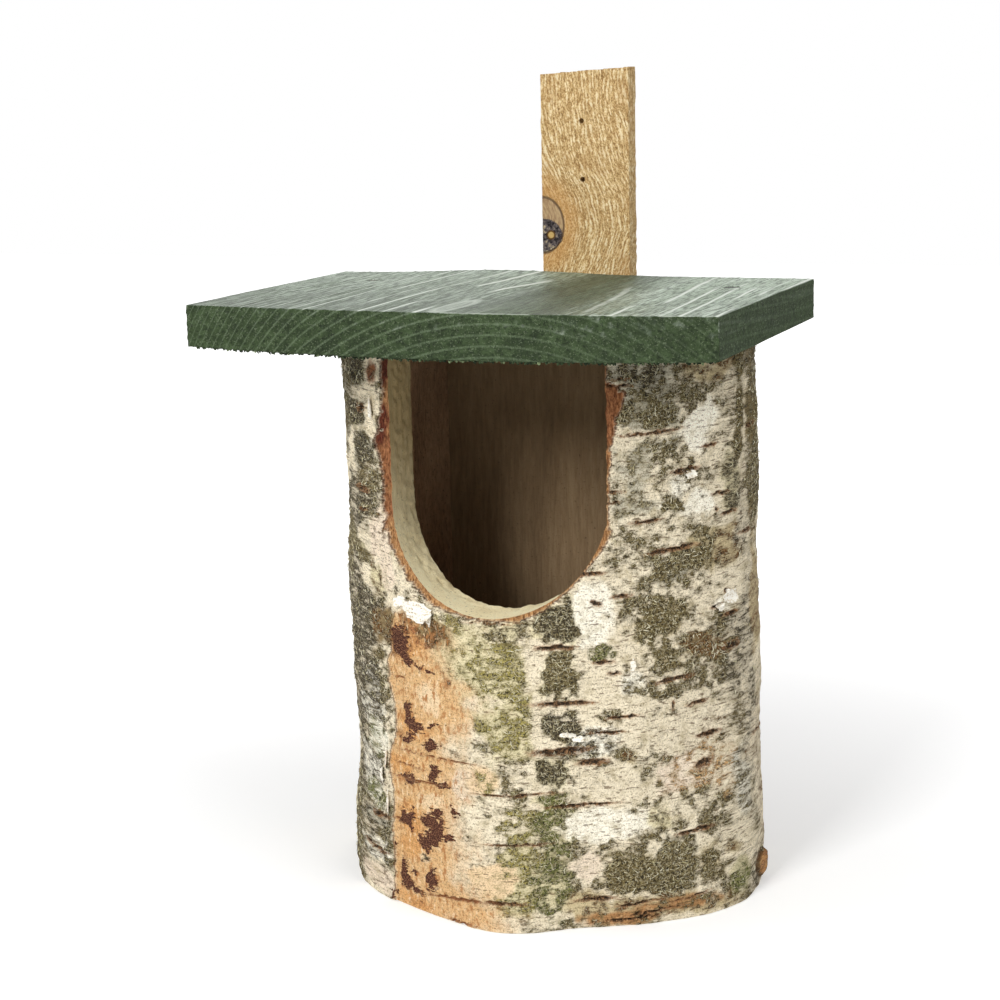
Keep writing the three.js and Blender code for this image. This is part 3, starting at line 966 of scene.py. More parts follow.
def mouth_distance(arc, height):
    """Distance in millimetres outside the mouth's edge, along the bark."""
    across = LOG_TOP_RADIUS * np.sin(arc / BARK_RADIUS) - MOUTH_OFFSET
    below = np.minimum(height - ARCH_HEIGHT, 0)
    return np.hypot(across, below) - MOUTH_RADIUS


def torn_rim(arc, height):
    """How far inside the torn-back strip along the mouth each point lies, in millimetres."""
    angle = arc / DEGREE
    left = np.interp(height, RIM_LEFT_HEIGHTS, RIM_LEFT)
    right = np.interp(height, RIM_RIGHT_HEIGHTS, RIM_RIGHT)
    side = np.where(angle < RIM_MIDDLE, left, right)
    low = np.interp(angle, RIM_LOW_ANGLES, RIM_LOW)
    lowness = ease((ARCH_HEIGHT - RIM_LOW_START - height) / RIM_LOW_BLEND)
    width = side * (1 - lowness) + low * lowness
    width = width * (1 + 0.6 * layered(arc, height, 4.0, 3, 401)) + 0.5 * layered(arc, height, 1.3, 2, 411)
    return width - mouth_distance(arc, height)


def along_marks(arc):
    """The distance round the log by which the bark's marks are laid: they run longer on the flanks."""
    left = -FLANK_START * DEGREE
    right = FLANK_END * DEGREE
    beyond = np.minimum(arc - left, 0) + np.maximum(arc - right, 0)
    return arc - (1 - FLANK_STRETCH) * beyond


def paint(layers, arc, height, regions, seed, share):
    """Lay each region over the ones before, with a soft and ragged edge."""
    pale, growth, cover = layers
    angle = arc / DEGREE
    marks = along_marks(arc)
    wander = 2 * layered(marks, height, 16.0, 5, seed) + 0.5 * layered(marks, height, 3.0, 2, seed + 9)
    for spot, level, wide, tall, light, dark, amount in regions:
        depth = 1 - np.hypot((angle - spot) / wide, (height - level) / tall) + 0.5 * wander
        part = share * ease(depth * 2.2 + 0.15)
        pale += (np.array(srgb(*PALETTE[light])) - pale) * part[..., None]
        growth += (np.array(srgb(*PALETTE[dark])) - growth) * part[..., None]
        cover += (amount - cover) * part


def stub_depth(arc, height):
    """1 at the middle of the sawn-off stub, 0 on its outline."""
    across = (arc - STUB_ANGLE * DEGREE) / (STUB_WIDTH / 2)
    return 1 - np.hypot(across, (height - STUB_HEIGHT) / (STUB_TALL / 2))


def bark_layers(arc, height):
    """The bark's pale colour, its growth's colour and cover, and the masks of its sharp features."""
    pale = np.zeros((*arc.shape, 4)) + np.array(srgb(*PALETTE["cream"]))
    growth = np.zeros((*arc.shape, 4)) + np.array(srgb(*PALETTE["olive"]))
    cover = np.clip(0.42 + 0.7 * layered(arc, height, 30.0, 4, 151), 0.1, 0.85)
    peel = peel_share(arc, height)
    rim = ease(torn_rim(arc, height) / 0.6 + 0.5)
    stub = stub_depth(arc, height)
    coats = [
        (REGIONS, 161, 1.0),
        (PEEL_GROUND, 171, peel),
        (PEEL_REGIONS, 181, peel),
        (RIM_REGIONS, 191, rim),
        (STUB_EDGE, 196, ease(stub * 5 + 1.2)),
        (STUB_WOOD, 197, ease(stub * 5 - 0.3)),
    ]
    for regions, seed, share in coats:
        paint((pale, growth, cover), arc, height, regions, seed, share)
    return {
        "pale": pale,
        "growth": growth,
        "cover": cover,
        "clump": layered(along_marks(arc), height * 1.3, 3.6, 3, 221),
        "peel": peel,
        "rim": rim,
        "flake": patch_depth(arc, height, MAROON_FLAKES, 2.6, 2.2, 101, 2) + 0.12,
        "crack": patch_depth(arc, height, DARK_CRACKS, 0.8, 1.7, 121, 3),
    }


def add_stub(radius, arc, height):
    """Raise the trunk's surface to the flat sawn end of the branch stub."""
    depth = stub_depth(arc, height)
    root = bark_radius(math.radians(STUB_ANGLE), STUB_HEIGHT)
    end = root + STUB_REACH - STUB_INSET + STUB_RING_RISE * np.sin(depth * STUB_RING_TURN)
    return radius + (end - radius) * ease(depth * 4 + 0.4)


def bark_relief(arc, height, layers):
    """How far the bark stands out from the plain trunk, in millimetres."""
    clump, peel, rim = layers["clump"], layers["peel"], layers["rim"]
    flake = ease(layers["flake"] * 5 + 0.5)
    crack = ease(layers["crack"] * 1.6 + 0.1)
    lips = ease(layers["crack"] * 1.5 + 1.3) * (1 - crack)
    flank = (arc / DEGREE - FLANK_ANGLE) / FLANK_SPREAD
    relief = LONG_WAVES * layered(arc, height * 1.6, 16.0, 3, 201)
    relief += np.interp(height, FLANK_HEIGHTS, FLANK_SWELL) * np.exp(-(flank**2))
    relief += (1 - np.maximum(peel, rim)) * SHORT_WAVES * layered(arc * 0.6, height * 2.2, 4.0, 3, 211)
    relief += ease(layers["cover"] * 2 - 0.2) * (GROWTH_RISE + CLUMP_RISE * clump)
    relief += FLAKE_RISE * flake * (1 + 0.3 * clump) + LIP_RISE * lips - CRACK_DEPTH * crack
    relief -= PEEL_DEPTH * peel + RIM_DEPTH * rim
    relief += rim * RIM_STRANDS * layered(arc * 2, height, 2.4, 3, 241)
    return relief


def ring_points(radii, angles, heights):
    return np.stack([radii * np.sin(angles), -radii * np.cos(angles), heights], axis=-1)


def surface_points(arc, height, lift):
    """Places this far off the finished bark."""
    angle = arc / BARK_RADIUS
    radius = bark_radius(angle, height) + bark_relief(arc, height, bark_layers(arc, height))
    return ring_points(radius + lift, angle, height)


def tube_faces(rows, columns):
    """Faces of a tube of rings, closed at both ends by a fan to the last two points."""
    faces = []
    for row in range(rows - 1):
        low = row * columns
        for step in range(columns):
            near = low + step
            far = low + (step + 1) % columns
            faces.append((near, far, far + columns, near + columns))
    foot = rows * columns
    top = (rows - 1) * columns
    for step in range(columns):
        far = (step + 1) % columns
        faces.append((foot, far, step))
        faces.append((foot + 1, top + step, top + far))
    return faces


def tube(name, radius, angle, height, materials, side_slot, end_slot):
    """A closed tube from a grid of radii, angles and heights."""
    points = ring_points(radius, angle, height).reshape(-1, 3)
    ends = [[0, 0, height[0, 0]], [0, 0, height[-1, 0]]]
    faces = tube_faces(*radius.shape)
    slots = np.full(len(faces), end_slot)
    slots[:-2 * radius.shape[1]] = side_slot
    return mesh_object(name, np.vstack([points, ends]), faces, materials, slots)


def trunk_columns():
    """Angles round the trunk in degrees, closest together where the photograph sees the bark."""
    angles = []
    for start, end, spacing in TRUNK_SPANS:
        count = round((end - start) / spacing)
        angles.extend(start + (end - start) * np.arange(count) / count)
    return np.radians(angles)


def trunk_mesh(materials):
    """The log in the round, with all its bark, before it is bored and cut."""
    rows = int(LOG_HEIGHT / TRUNK_ROW_HEIGHT) + 1
    angle, height = np.meshgrid(trunk_columns(), np.linspace(0, LOG_HEIGHT, rows))
    arc = angle * BARK_RADIUS
    radius = bark_radius(angle, height) + bark_relief(arc, height, bark_layers(arc, height))
    return tube("birch_log", add_stub(radius, arc, height), angle, height, materials, BARK, SAWN)


def bore_cutter(materials):
    """The round bore from end to end, streaked by the auger."""
    angles = np.linspace(0, 2 * math.pi, BORE_COLUMNS, endpoint=False)
    heights = np.linspace(-OVERRUN, LOG_HEIGHT + OVERRUN, BORE_ROWS)
    angle, height = np.meshgrid(angles, heights)
    streaks = BORE_STREAKS * layered(angle * BORE_RADIUS, height * 0.15, 2.6, 3, 251)
    return tube("bore", BORE_RADIUS + streaks, angle, height, materials, BORED, BORED)


def mouth_outline():
    """The mouth's edge from top left round the arch to top right, then back above the log."""
    top = LOG_HEIGHT + OVERRUN
    rise = top - ARCH_HEIGHT
    down = int(rise / MOUTH_SPACING)
    around = int(math.pi * MOUTH_RADIUS / MOUTH_SPACING)
    left = [(-MOUTH_RADIUS, top - rise * i / down) for i in range(down)]
    turns = [math.pi + math.pi * i / around for i in range(around + 1)]
    arch = [(MOUTH_RADIUS * math.cos(t), ARCH_HEIGHT + MOUTH_RADIUS * math.sin(t)) for t in turns]
    right = [(MOUTH_RADIUS, ARCH_HEIGHT + rise * i / down) for i in range(1, down + 1)]
    return np.array(left + arch + right)


def mouth_cutter(materials):
    """A tool of the mouth's outline, a little rough, and ragged behind the outer bark."""
    outline = mouth_outline()
    count = len(outline)
    inward = [0, ARCH_HEIGHT] - outline
    inward[:, 1] = np.maximum(inward[:, 1], 0)
    inward /= np.linalg.norm(inward, axis=1)[:, None]
    along = np.arange(count) * MOUTH_SPACING
    rings = []
    for depth in MOUTH_DEPTHS:
        here = np.full(count, depth)
        rough = MOUTH_ROUGHNESS * layered(along, here, 2.2, 3, 261)
        ragged = MOUTH_RAGGEDNESS * layered(along, here, 2.6, 2, 271) * ease((depth - RAGGED_START) / 8)
        edge = outline + inward * (rough + ragged)[:, None]
        rings.append(np.stack([edge[:, 0] + MOUTH_OFFSET, here, edge[:, 1]], axis=1))
    faces = [face[:1] + face[:0:-1] for face in strip_faces(len(rings), count)]
    return mesh_object("mouth", np.concatenate(rings), faces, materials, SAWN)


def strip_faces(rows, columns):
    """Faces of a stack of closed rings with flat ends."""
    faces = []
    for row in range(rows - 1):
        low = row * columns
        for step in range(columns):
            far = (step + 1) % columns
            faces.append((low + step, low + far, low + columns + far, low + columns + step))
    faces.append(tuple(reversed(range(columns))))
    faces.append(tuple((rows - 1) * columns + step for step in range(columns)))
    return faces


def back_cutter(materials):
    """A block behind the flat back."""
    side = 2 * LOG_BASE_RADIUS
    sides = ((-side, side), (FLAT_BACK, 2 * side), (-OVERRUN, LOG_HEIGHT + OVERRUN))
    faces = [(0, 1, 3, 2), (4, 6, 7, 5), (0, 4, 5, 1), (2, 3, 7, 6), (0, 2, 6, 4), (1, 5, 7, 3)]
    return mesh_object("back", list(itertools.product(*sides)), faces, materials, SAWN)


def turned_points(head, direction, profile, sides):
    """Rings of points about a line from its head: pairs of radius and distance, in millimetres."""
    turn = Vector(direction).to_track_quat("Z", "Y")
    points = []
    for radius, along in profile:
        for step in range(sides):
            angle = 2 * math.pi * step / sides
            spoke = Vector((radius * math.cos(angle), radius * math.sin(angle), along))
            points.append(tuple(Vector(head) + turn @ spoke))
    return points


def turned_tool(head, direction, profile):
    """A tool that leaves a round stepped hole."""
    points = turned_points(head, direction, profile, SOCKET_SIDES)
    return mesh_object("hole", points, strip_faces(len(profile), SOCKET_SIDES))


def head_of(name, direction):
    """The middle of a fastener's head, in millimetres, from its node's box."""
    low, high = (np.array(corner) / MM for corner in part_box(name))
    direction = np.array(direction, float)
    return (low + high) / 2 - direction * (np.abs(direction) @ (high - low)) / 2


def screw_hole(name, direction):
    """The countersunk hole of a screw."""
    head = HEAD_RADIUS + HOLE_CLEARANCE
    bore = SHANK_RADIUS + HOLE_CLEARANCE
    profile = [(head, -OVERRUN), (head, 0), (bore, HEAD_RADIUS - SHANK_RADIUS), (bore, SCREW_REACH)]
    return turned_tool(head_of(name, direction), direction, profile)


def nail_hole(side):
    """The hole of the nail that goes through the log's wall into the floor plate."""
    angle = math.radians(side * FLOOR_NAIL_ANGLE)
    inward = np.array([-math.sin(angle), math.cos(angle), 0])
    head = -inward * (bark_radius(angle, FLOOR_NAIL_HEIGHT) - NAIL_SINK) + [0, 0, FLOOR_NAIL_HEIGHT]
    wide = NAIL_HEAD_RADIUS + HOLE_CLEARANCE
    narrow = NAIL_RADIUS + HOLE_CLEARANCE
    seat = NAIL_HEAD_THICKNESS + HOLE_CLEARANCE
    return turned_tool(head, inward, [(wide, -OVERRUN), (wide, seat), (narrow, seat), (narrow, NAIL_REACH)])


def dress_bark(mesh):
    """Keep the layers on the vertices, worked out again after the cuts."""
    x, y, height = points_of(mesh).T
    arc = np.arctan2(x, -y) * BARK_RADIUS
    angle = arc / DEGREE
    layers = bark_layers(arc, height)
    share = np.clip(layers["cover"], 0.01, 0.95)
    fine = np.maximum(ease((angle - FLANK_END) / 8), ease((-FLANK_START - angle) / 4 + 0.5))
    clumps = CLUMP_SHARE * (1 - 0.7 * fine) * layers["clump"]
    store(mesh, "fine", fine)
    store(mesh, "speckle", SPECKLE_SPREAD * np.log(share / (1 - share)) + clumps)
    for name in ("pale", "growth", "peel", "rim", "flake", "crack"):
        store(mesh, name, layers[name])
    store(mesh, "left", np.abs(arc - DEGREE * np.interp(height, PEEL_HEIGHTS, PEEL_LEFT)))
    store(mesh, "around", np.stack([along_marks(arc), height, 0 * arc], axis=-1) * MM)


def make_log():
    """The bored log with its mouth, its flat back, its holes and all its bark."""
    materials = [
        bark_material(),
        sawn_material("cut_birch", CUT_BIRCH, (1, 1, 0.06), CUT_FIBRE, CUT_BUMP, shade=CUT_BIRCH_PAINTED_SHADE),
        sawn_material("bored_birch", BORED_BIRCH, (1, 1, 0.3), shade=BORED_BIRCH_PAINTED_SHADE),
    ]
    log = trunk_mesh(materials)
    cutters = [bore_cutter(materials), mouth_cutter(materials), back_cutter(materials)]
    cut(log, cutters + [nail_hole(-1), nail_hole(1)])
    dress_bark(log.data)
    smooth_by_angle(log, BARK_SMOOTHING)
    place(log, "bark", "birch_log")


def curl_sheet(number, angle, level, half_width, half_height, turn, lift):
    """Where the points of one loose sheet lie on the bark, and how far they stand off it."""
    u, v = np.meshgrid(np.linspace(-1, 1, CURL_COLUMNS), np.linspace(-1, 1, CURL_ROWS))
    ragged = 1 + CURL_RAGGEDNESS * layered(3 * u + 9 * number, 3 * v, 1.0, 2, 801)
    edge = np.sqrt(1 - CURL_ROUNDING * v**2) * ragged
    arc = angle * DEGREE + half_width * u * edge
    height = level + half_height * v * np.sqrt(1 - CURL_ROUNDING * u**2) * ragged
    free = np.cos(math.radians(turn)) * u + np.sin(math.radians(turn)) * v
    rise = CURL_GAP + lift * np.maximum(free + 0.4, 0) ** 2 / 2
    rise = rise + CURL_WAVES * layered(arc, height, 2.0, 2, 811)
    return arc, height, rise


def sheet_faces(first):
    """Faces of a sheet's outside, its inside and the rim between, from its first point on."""
    size = CURL_COLUMNS * CURL_ROWS
    grid = first + np.arange(size).reshape(CURL_ROWS, CURL_COLUMNS)
    faces = []
    for a in grid[:-1, :-1].ravel().tolist():
        quad = (a, a + 1, a + CURL_COLUMNS + 1, a + CURL_COLUMNS)
        faces.append(quad)
        faces.append(tuple(size + corner for corner in reversed(quad)))
    rim = np.concatenate([grid[0], grid[1:, -1], grid[-1, -2::-1], grid[-2:0:-1, 0]]).tolist()
    for here, there in zip(rim, rim[1:] + rim[:1]):
        faces.append((there, here, here + size, there + size))
    return faces


def make_curls():
    """Sheets of outer bark that have come loose, each with a free edge that lifts off."""
    points = []
    faces = []
    around = []
    for number, curl in enumerate(CURLS):
        arc, height, rise = curl_sheet(number, *curl)
        faces.extend(sheet_faces(len(points)))
        for lift in (rise + CURL_THICKNESS, rise):
            points.extend(surface_points(arc, height, lift).reshape(-1, 3))
            around.extend(np.stack([arc, height, 0 * arc], axis=-1).reshape(-1, 3) * MM)
    curls = mesh_object("bark_curls", points, faces, [paper_material()])
    store(curls.data, "around", around)
    smooth_by_angle(curls, BARK_SMOOTHING)
    place(curls, "bark")


def threads_mesh(name, centres, width, outward, material, tones):
    """Thin tapering threads, each through three points, in millimetres."""
    along = centres[2] - centres[0]
    along /= np.linalg.norm(along, axis=1)[:, None]
    sideways = np.cross(along, outward)
    sideways /= np.linalg.norm(sideways, axis=1)[:, None]
    rings = []
    for centre, share in zip(centres, (0.7, 1.0, 0.4)):
        thin = width[:, None] * share
        rings += [centre + thin * sideways, centre + thin * outward, centre - thin * sideways]
    points = np.array(rings).transpose(1, 0, 2).reshape(-1, 3)
    corners = len(rings)
    pattern = strip_faces(3, 3)
    faces = [tuple(corners * n + corner for corner in face) for n in range(len(width)) for face in pattern]
    threads = mesh_object(name, points, faces, [material])
    store(threads.data, "tone", np.repeat(tones, corners))
    return threads


def growth_spots(rng):
    """Random places on the bark, kept where the growth is thick."""
    arc = rng.uniform(-FIBRE_SPAN, FIBRE_SPAN, FIBRE_TRIES) * DEGREE
    height = rng.uniform(FIBRE_MARGIN, LOG_HEIGHT - FIBRE_MARGIN, FIBRE_TRIES)
    layers = bark_layers(arc, height)
    thick = (layers["cover"] - 0.45) * 2 + 0.5 * layers["clump"]
    bare = layers["peel"] + layers["rim"] > 0.3
    outside = mouth_distance(arc, height) > FIBRE_MARGIN
    kept = (rng.uniform(0, 1, FIBRE_TRIES) < thick) & ~bare & outside
    return arc[kept], height[kept]


def make_fibres():
    """Short threads of lichen that lie on the bark wherever the growth is thick."""
    rng = np.random.default_rng(821)
    arc, height = growth_spots(rng)
    count = len(arc)
    heading = rng.uniform(0, 2 * math.pi, count)
    bend = rng.uniform(-FIBRE_BEND, FIBRE_BEND, count)
    length = rng.uniform(*FIBRE_LENGTHS, count)
    centres = []
    for step, lift in ((-1, 0.1), (0, 0.45), (1, 0.2)):
        turned = heading + bend * step
        reach = 0.5 * step * length
        centres.append(surface_points(arc + reach * np.cos(turned), height + reach * np.sin(turned), lift))
    outward = centres[1] * [1, 1, 0]
    outward /= np.linalg.norm(outward, axis=1)[:, None]
    tones = np.clip(rng.normal(0.68, 0.26, count), 0.05, 1)
    width = rng.uniform(*FIBRE_WIDTHS, count)
    material = thread_material("lichen_threads", LICHEN_GRAIN, 0.9, 0.15, *LICHEN_TONES)
    place(threads_mesh("lichen_threads", centres, width, outward, material, tones), "bark")


def make_slivers():
    """Torn green splinters that hang from the roof's lower front edge."""
    rng = np.random.default_rng(841)
    side = rng.uniform(-0.98, 0.98, SLIVER_COUNT)
    root = -LIP_SAG * (1 - side**2) + SLIVER_ROOT_DEPTH
    length = rng.uniform(0.3, 1.0, SLIVER_COUNT) ** 2 * SLIVER_LENGTH
    lean = rng.normal(0, 0.5, SLIVER_COUNT)
    back = rng.uniform(*SLIVER_SETBACKS, SLIVER_COUNT)
    centres = []
    for step in (0, 0.5, 1):
        across = side * ROOF_WIDTH / 2 + lean * length * step
        centres.append(np.stack([across, back, root - (0.3 + length) * step], axis=1))
    centres = np.array(centres) + [ROOF_OFFSET, ROOF_FRONT, LOG_HEIGHT]
    outward = np.tile([0.0, -1.0, 0.0], (SLIVER_COUNT, 1))
    width = rng.uniform(*SLIVER_WIDTHS, SLIVER_COUNT)
    tones = np.clip(rng.normal(0.4, 0.3, SLIVER_COUNT), 0, 1)
    material = thread_material("green_slivers", SLIVER_GRAIN, 0.85, 0.2, *SLIVER_TONES)
    place(threads_mesh("roof_slivers", centres, width, outward, material, tones), "green_wood")


class Bark(Shader):
    """Birch bark, laid on in coats over the layers kept on the log's vertices."""

    def __init__(self):
        super().__init__("birch_bark")
        self.around = self.attribute("around", "Vector")
        self.pale = self.attribute("pale", "Color")
        self.growth = self.attribute("growth", "Color")
        self.peel = self.attribute("peel")
        self.rim = self.attribute("rim")
        self.fine = self.attribute("fine")
        self.grain = self.noise(self.around, BARK_GRAIN, 3, 0.7)
        self.weave = self.noise(self.around, BARK_WEAVE, 3, 0.7, distortion=0.8)
        self.threads = self.noise(self.around, BARK_THREADS, 3, 0.65, (0.3, 1.6, 1))
        self.mottle = self.noise(self.around, BARK_MOTTLE, 4, 0.85, (0.85, 1.2, 1))
        self.bare = 1.0 - self.math("MAXIMUM", self.peel, self.rim)
        self.ragged = (self.weave - 0.5) * 1.6
        pepper = self.fine * 0.25 * (self.weave - self.mottle)
        self.level = (self.mottle - 0.5 + pepper) * 3.6 + self.attribute("speckle")

    def outer_skin(self):
        """Pale bark with a fine grain, broad stains and short dark dashes."""
        tone = self.grain * 0.45 + (self.threads * 0.2 + self.weave * 0.35)
        stops = [(0.38, 0.3, 0.26, 0.2), (0.46, 0.9, 0.88, 0.84), (0.52, 1.2, 1.2, 1.2)]
        self.colour = self.times(self.pale, self.ramp(tone, *stops, convert=factors))
        broad = self.noise(self.around, BARK_STAINS, 4, 0.6)
        self.lay((168, 152, 112), self.step(broad, 0.48, 0.7) * (self.bare * 0.5))
        dashes = self.noise(self.around, BARK_DASHES, 2, 0.6, (0.3, 1.3, 1))
        self.lay((92, 70, 44), self.step(dashes, 0.59, 0.65) * (self.bare * 0.6 + 0.12))

    def lichen(self):
        """A dark film with pits and pale straw, and loose threads drawn on it; returns the threads."""
        shade = self.ramp(self.grain, (0.36, 0.5, 0.5, 0.5), (0.6, 1.9, 1.8, 1.65), convert=factors)
        pits = self.step(self.weave, 0.5, 0.43) * 0.92
        film = self.mix(pits, self.times(self.growth, shade), srgb(30, 25, 16))
        loose = self.bare * (self.fine * -0.6 + 1.0)
        raised = self.step(self.weave, 0.55, 0.62) * 0.35
        film = self.mix(raised * loose, film, srgb(196, 182, 134))
        patchy = loose * self.step(self.threads, 0.4, 0.5) * 0.85 + 0.05
        combed = 0.0
        for number, (spacing, length, width) in enumerate(THREADS):
            stroke, chance = self.strokes(self.around, spacing, length, width, THREAD_SHIFT * number)
            tint = self.mix(chance**1.6, srgb(150, 134, 90), srgb(255, 246, 212))
            film = self.mix(stroke * patchy, film, tint)
            combed = combed + stroke * patchy
        self.lay(self.growth, self.step(self.level, -0.7, 0.0) * 0.4)
        self.lay(film, self.step(self.level, -0.06, 0.14) * 0.94)
        return combed

    def peeled_strip(self):
        """Inner bark: a painted shadow along its left edge, under the step of the outer bark, rusty patches
        and pale ones.
        """
        # Painted shadow: a dark line along the peel's left edge, where the outer bark steps down
        painted_step_shadow = self.step(abs(self.peel - 0.35), 0.3, 0.0)
        on_left = self.step(self.attribute("left"), 1.6, 0.8)
        self.lay((84, 56, 38), painted_step_shadow * on_left * 0.75)
        patina = self.noise(self.around, BARK_PATINA, 4, 0.7, (1, 0.45, 1))
        self.lay((180, 126, 78), self.peel * self.step(patina, 0.52, 0.62))
        self.lay((236, 208, 168), self.peel * self.step(patina, 0.44, 0.36))

    def torn_strands(self):
        """The strip torn back along the mouth, with a broken dark edge."""
        strands = self.noise(self.around, BARK_STRANDS, 4, 0.75, (1.3, 0.4, 1))
        stops = [(0.38, 0.3, 0.24, 0.2), (0.49, 0.85, 0.8, 0.76), (0.6, 1.35, 1.42, 1.42)]
        shade = self.ramp(strands, *stops, convert=factors)
        self.lay(self.times(self.pale, shade), self.step(self.rim, 0.3, 0.7))
        broken = self.step(abs(self.rim - 0.4), 0.35, 0.1) * 0.75
        self.lay((62, 36, 26), broken * self.step(self.threads, 0.42, 0.52))

    def maroon_flakes(self):
        combing = self.noise(self.around, BARK_COMBING, 2, 0.6, (0.35, 1.5, 1))
        worn = (0.5 - combing) * 2.0 + self.ragged * 0.9
        colour = self.ramp(self.grain, (0.38, 46, 27, 22), (0.52, 80, 48, 37), (0.62, 160, 112, 82))
        self.lay(colour, self.step(worn + self.attribute("flake"), 0.0, 0.1))

    def cracks(self):
        """Dark cracks with a brown fringe, paler where the bark is peeled."""
        depth = self.ragged + ((self.mottle - 0.5) * 1.3 + self.attribute("crack"))
        fringe = self.ramp(self.weave, (0.4, 96, 70, 46), (0.52, 158, 106, 70), (0.62, 204, 180, 140))
        self.lay(fringe, self.step(depth, -0.6, 0.0) * 0.5)
        inner = self.ramp(self.weave, (0.42, 38, 30, 22), (0.52, 74, 56, 40), (0.6, 150, 112, 78))
        inner = self.mix(self.peel * 0.75, inner, srgb(150, 96, 62))
        self.lay(inner, self.step(depth, 0.0, 0.25) * 0.95)


def bark_material():
    bark = Bark()
    bark.outer_skin()
    combed = bark.lichen()
    bark.peeled_strip()
    bark.torn_strands()
    bark.maroon_flakes()
    bark.cracks()
    raised = bark.step(bark.level, -0.1, 0.2) * (combed * 0.35 + 0.2)
    height = raised + (bark.weave * 0.8 + bark.threads * 0.3)
    return bark.finish(0.9, 0.15, height=height, depth=BARK_BUMP)


def paper_material():
    """Thin curled bark: chalky white, tan where it is torn."""
    s = Shader("paper_bark")
    around = s.attribute("around", "Vector")
    fine = s.noise(around, PAPER_GRAIN, 3, 0.7)
    threads = s.noise(around, BARK_THREADS, 3, 0.6, (0.3, 1.8, 1))
    tone = fine * 0.5 + threads * 0.5
    s.colour = s.ramp(tone, (0.36, 128, 98, 70), (0.43, 214, 200, 174), (0.5, 248, 244, 232))
    return s.finish(0.85, 0.25, height=tone, depth=PAPER_BUMP)


def thread_material(name, grain_size, roughness, specular, *stops):
    """Fine threads or splinters, each of its own tone."""
    s = Shader(name)
    grain = s.noise(s.spot(), grain_size, 2, 0.6)
    s.colour = s.ramp((grain - 0.5) * 0.8 + s.attribute("tone"), *stops)
    return s.finish(roughness, specular, height=grain, depth=THREAD_BUMP)


def sawn_material(name, tones, stretch, fibre=WOOD_FIBRE, depth=WOOD_BUMP, rings=0.0, shade=None):
    """Sawn pale wood: fine fibres, broad bands, ring lines of a strength, dark pores, and a painted shade if
    one is given.
    """
    s = Shader(name)
    spot = s.spot()
    fibres = s.noise(spot, fibre, 4, 0.65, stretch, 0.2)
    broad = s.noise(spot, WOOD_BANDS, 4, 0.55, stretch)
    stops = [(position, *tone) for position, tone in zip((0.34, 0.5, 0.64), tones)]
    s.colour = s.ramp(fibres * 0.5 + broad * 0.5, *stops)
    axes = s.split(spot)
    drift = s.noise(spot, RING_DRIFT, 3, 0.5, (1, 1, 0.12))
    ring = s.math("FRACT", axes[0] * RING_LINES + drift * RING_DRIFT_REACH) ** 3.0
    s.lay(tuple(0.62 * value for value in tones[0]), ring * rings)
    pores = s.noise(spot, WOOD_PORES, 3, 0.7)
    s.lay((64, 48, 32), s.step(pores, 0.6, 0.68) * 0.55)
    # Painted shade: the colour darkened along one axis, between two places
    if shade:
        axis, start, end, painted_shade_factors = shade
        s.lay(s.times(s.colour, factors(*painted_shade_factors)), s.step(axes[axis], start, end))
    return s.finish(0.85, 0.2, height=fibres + pores, depth=depth)


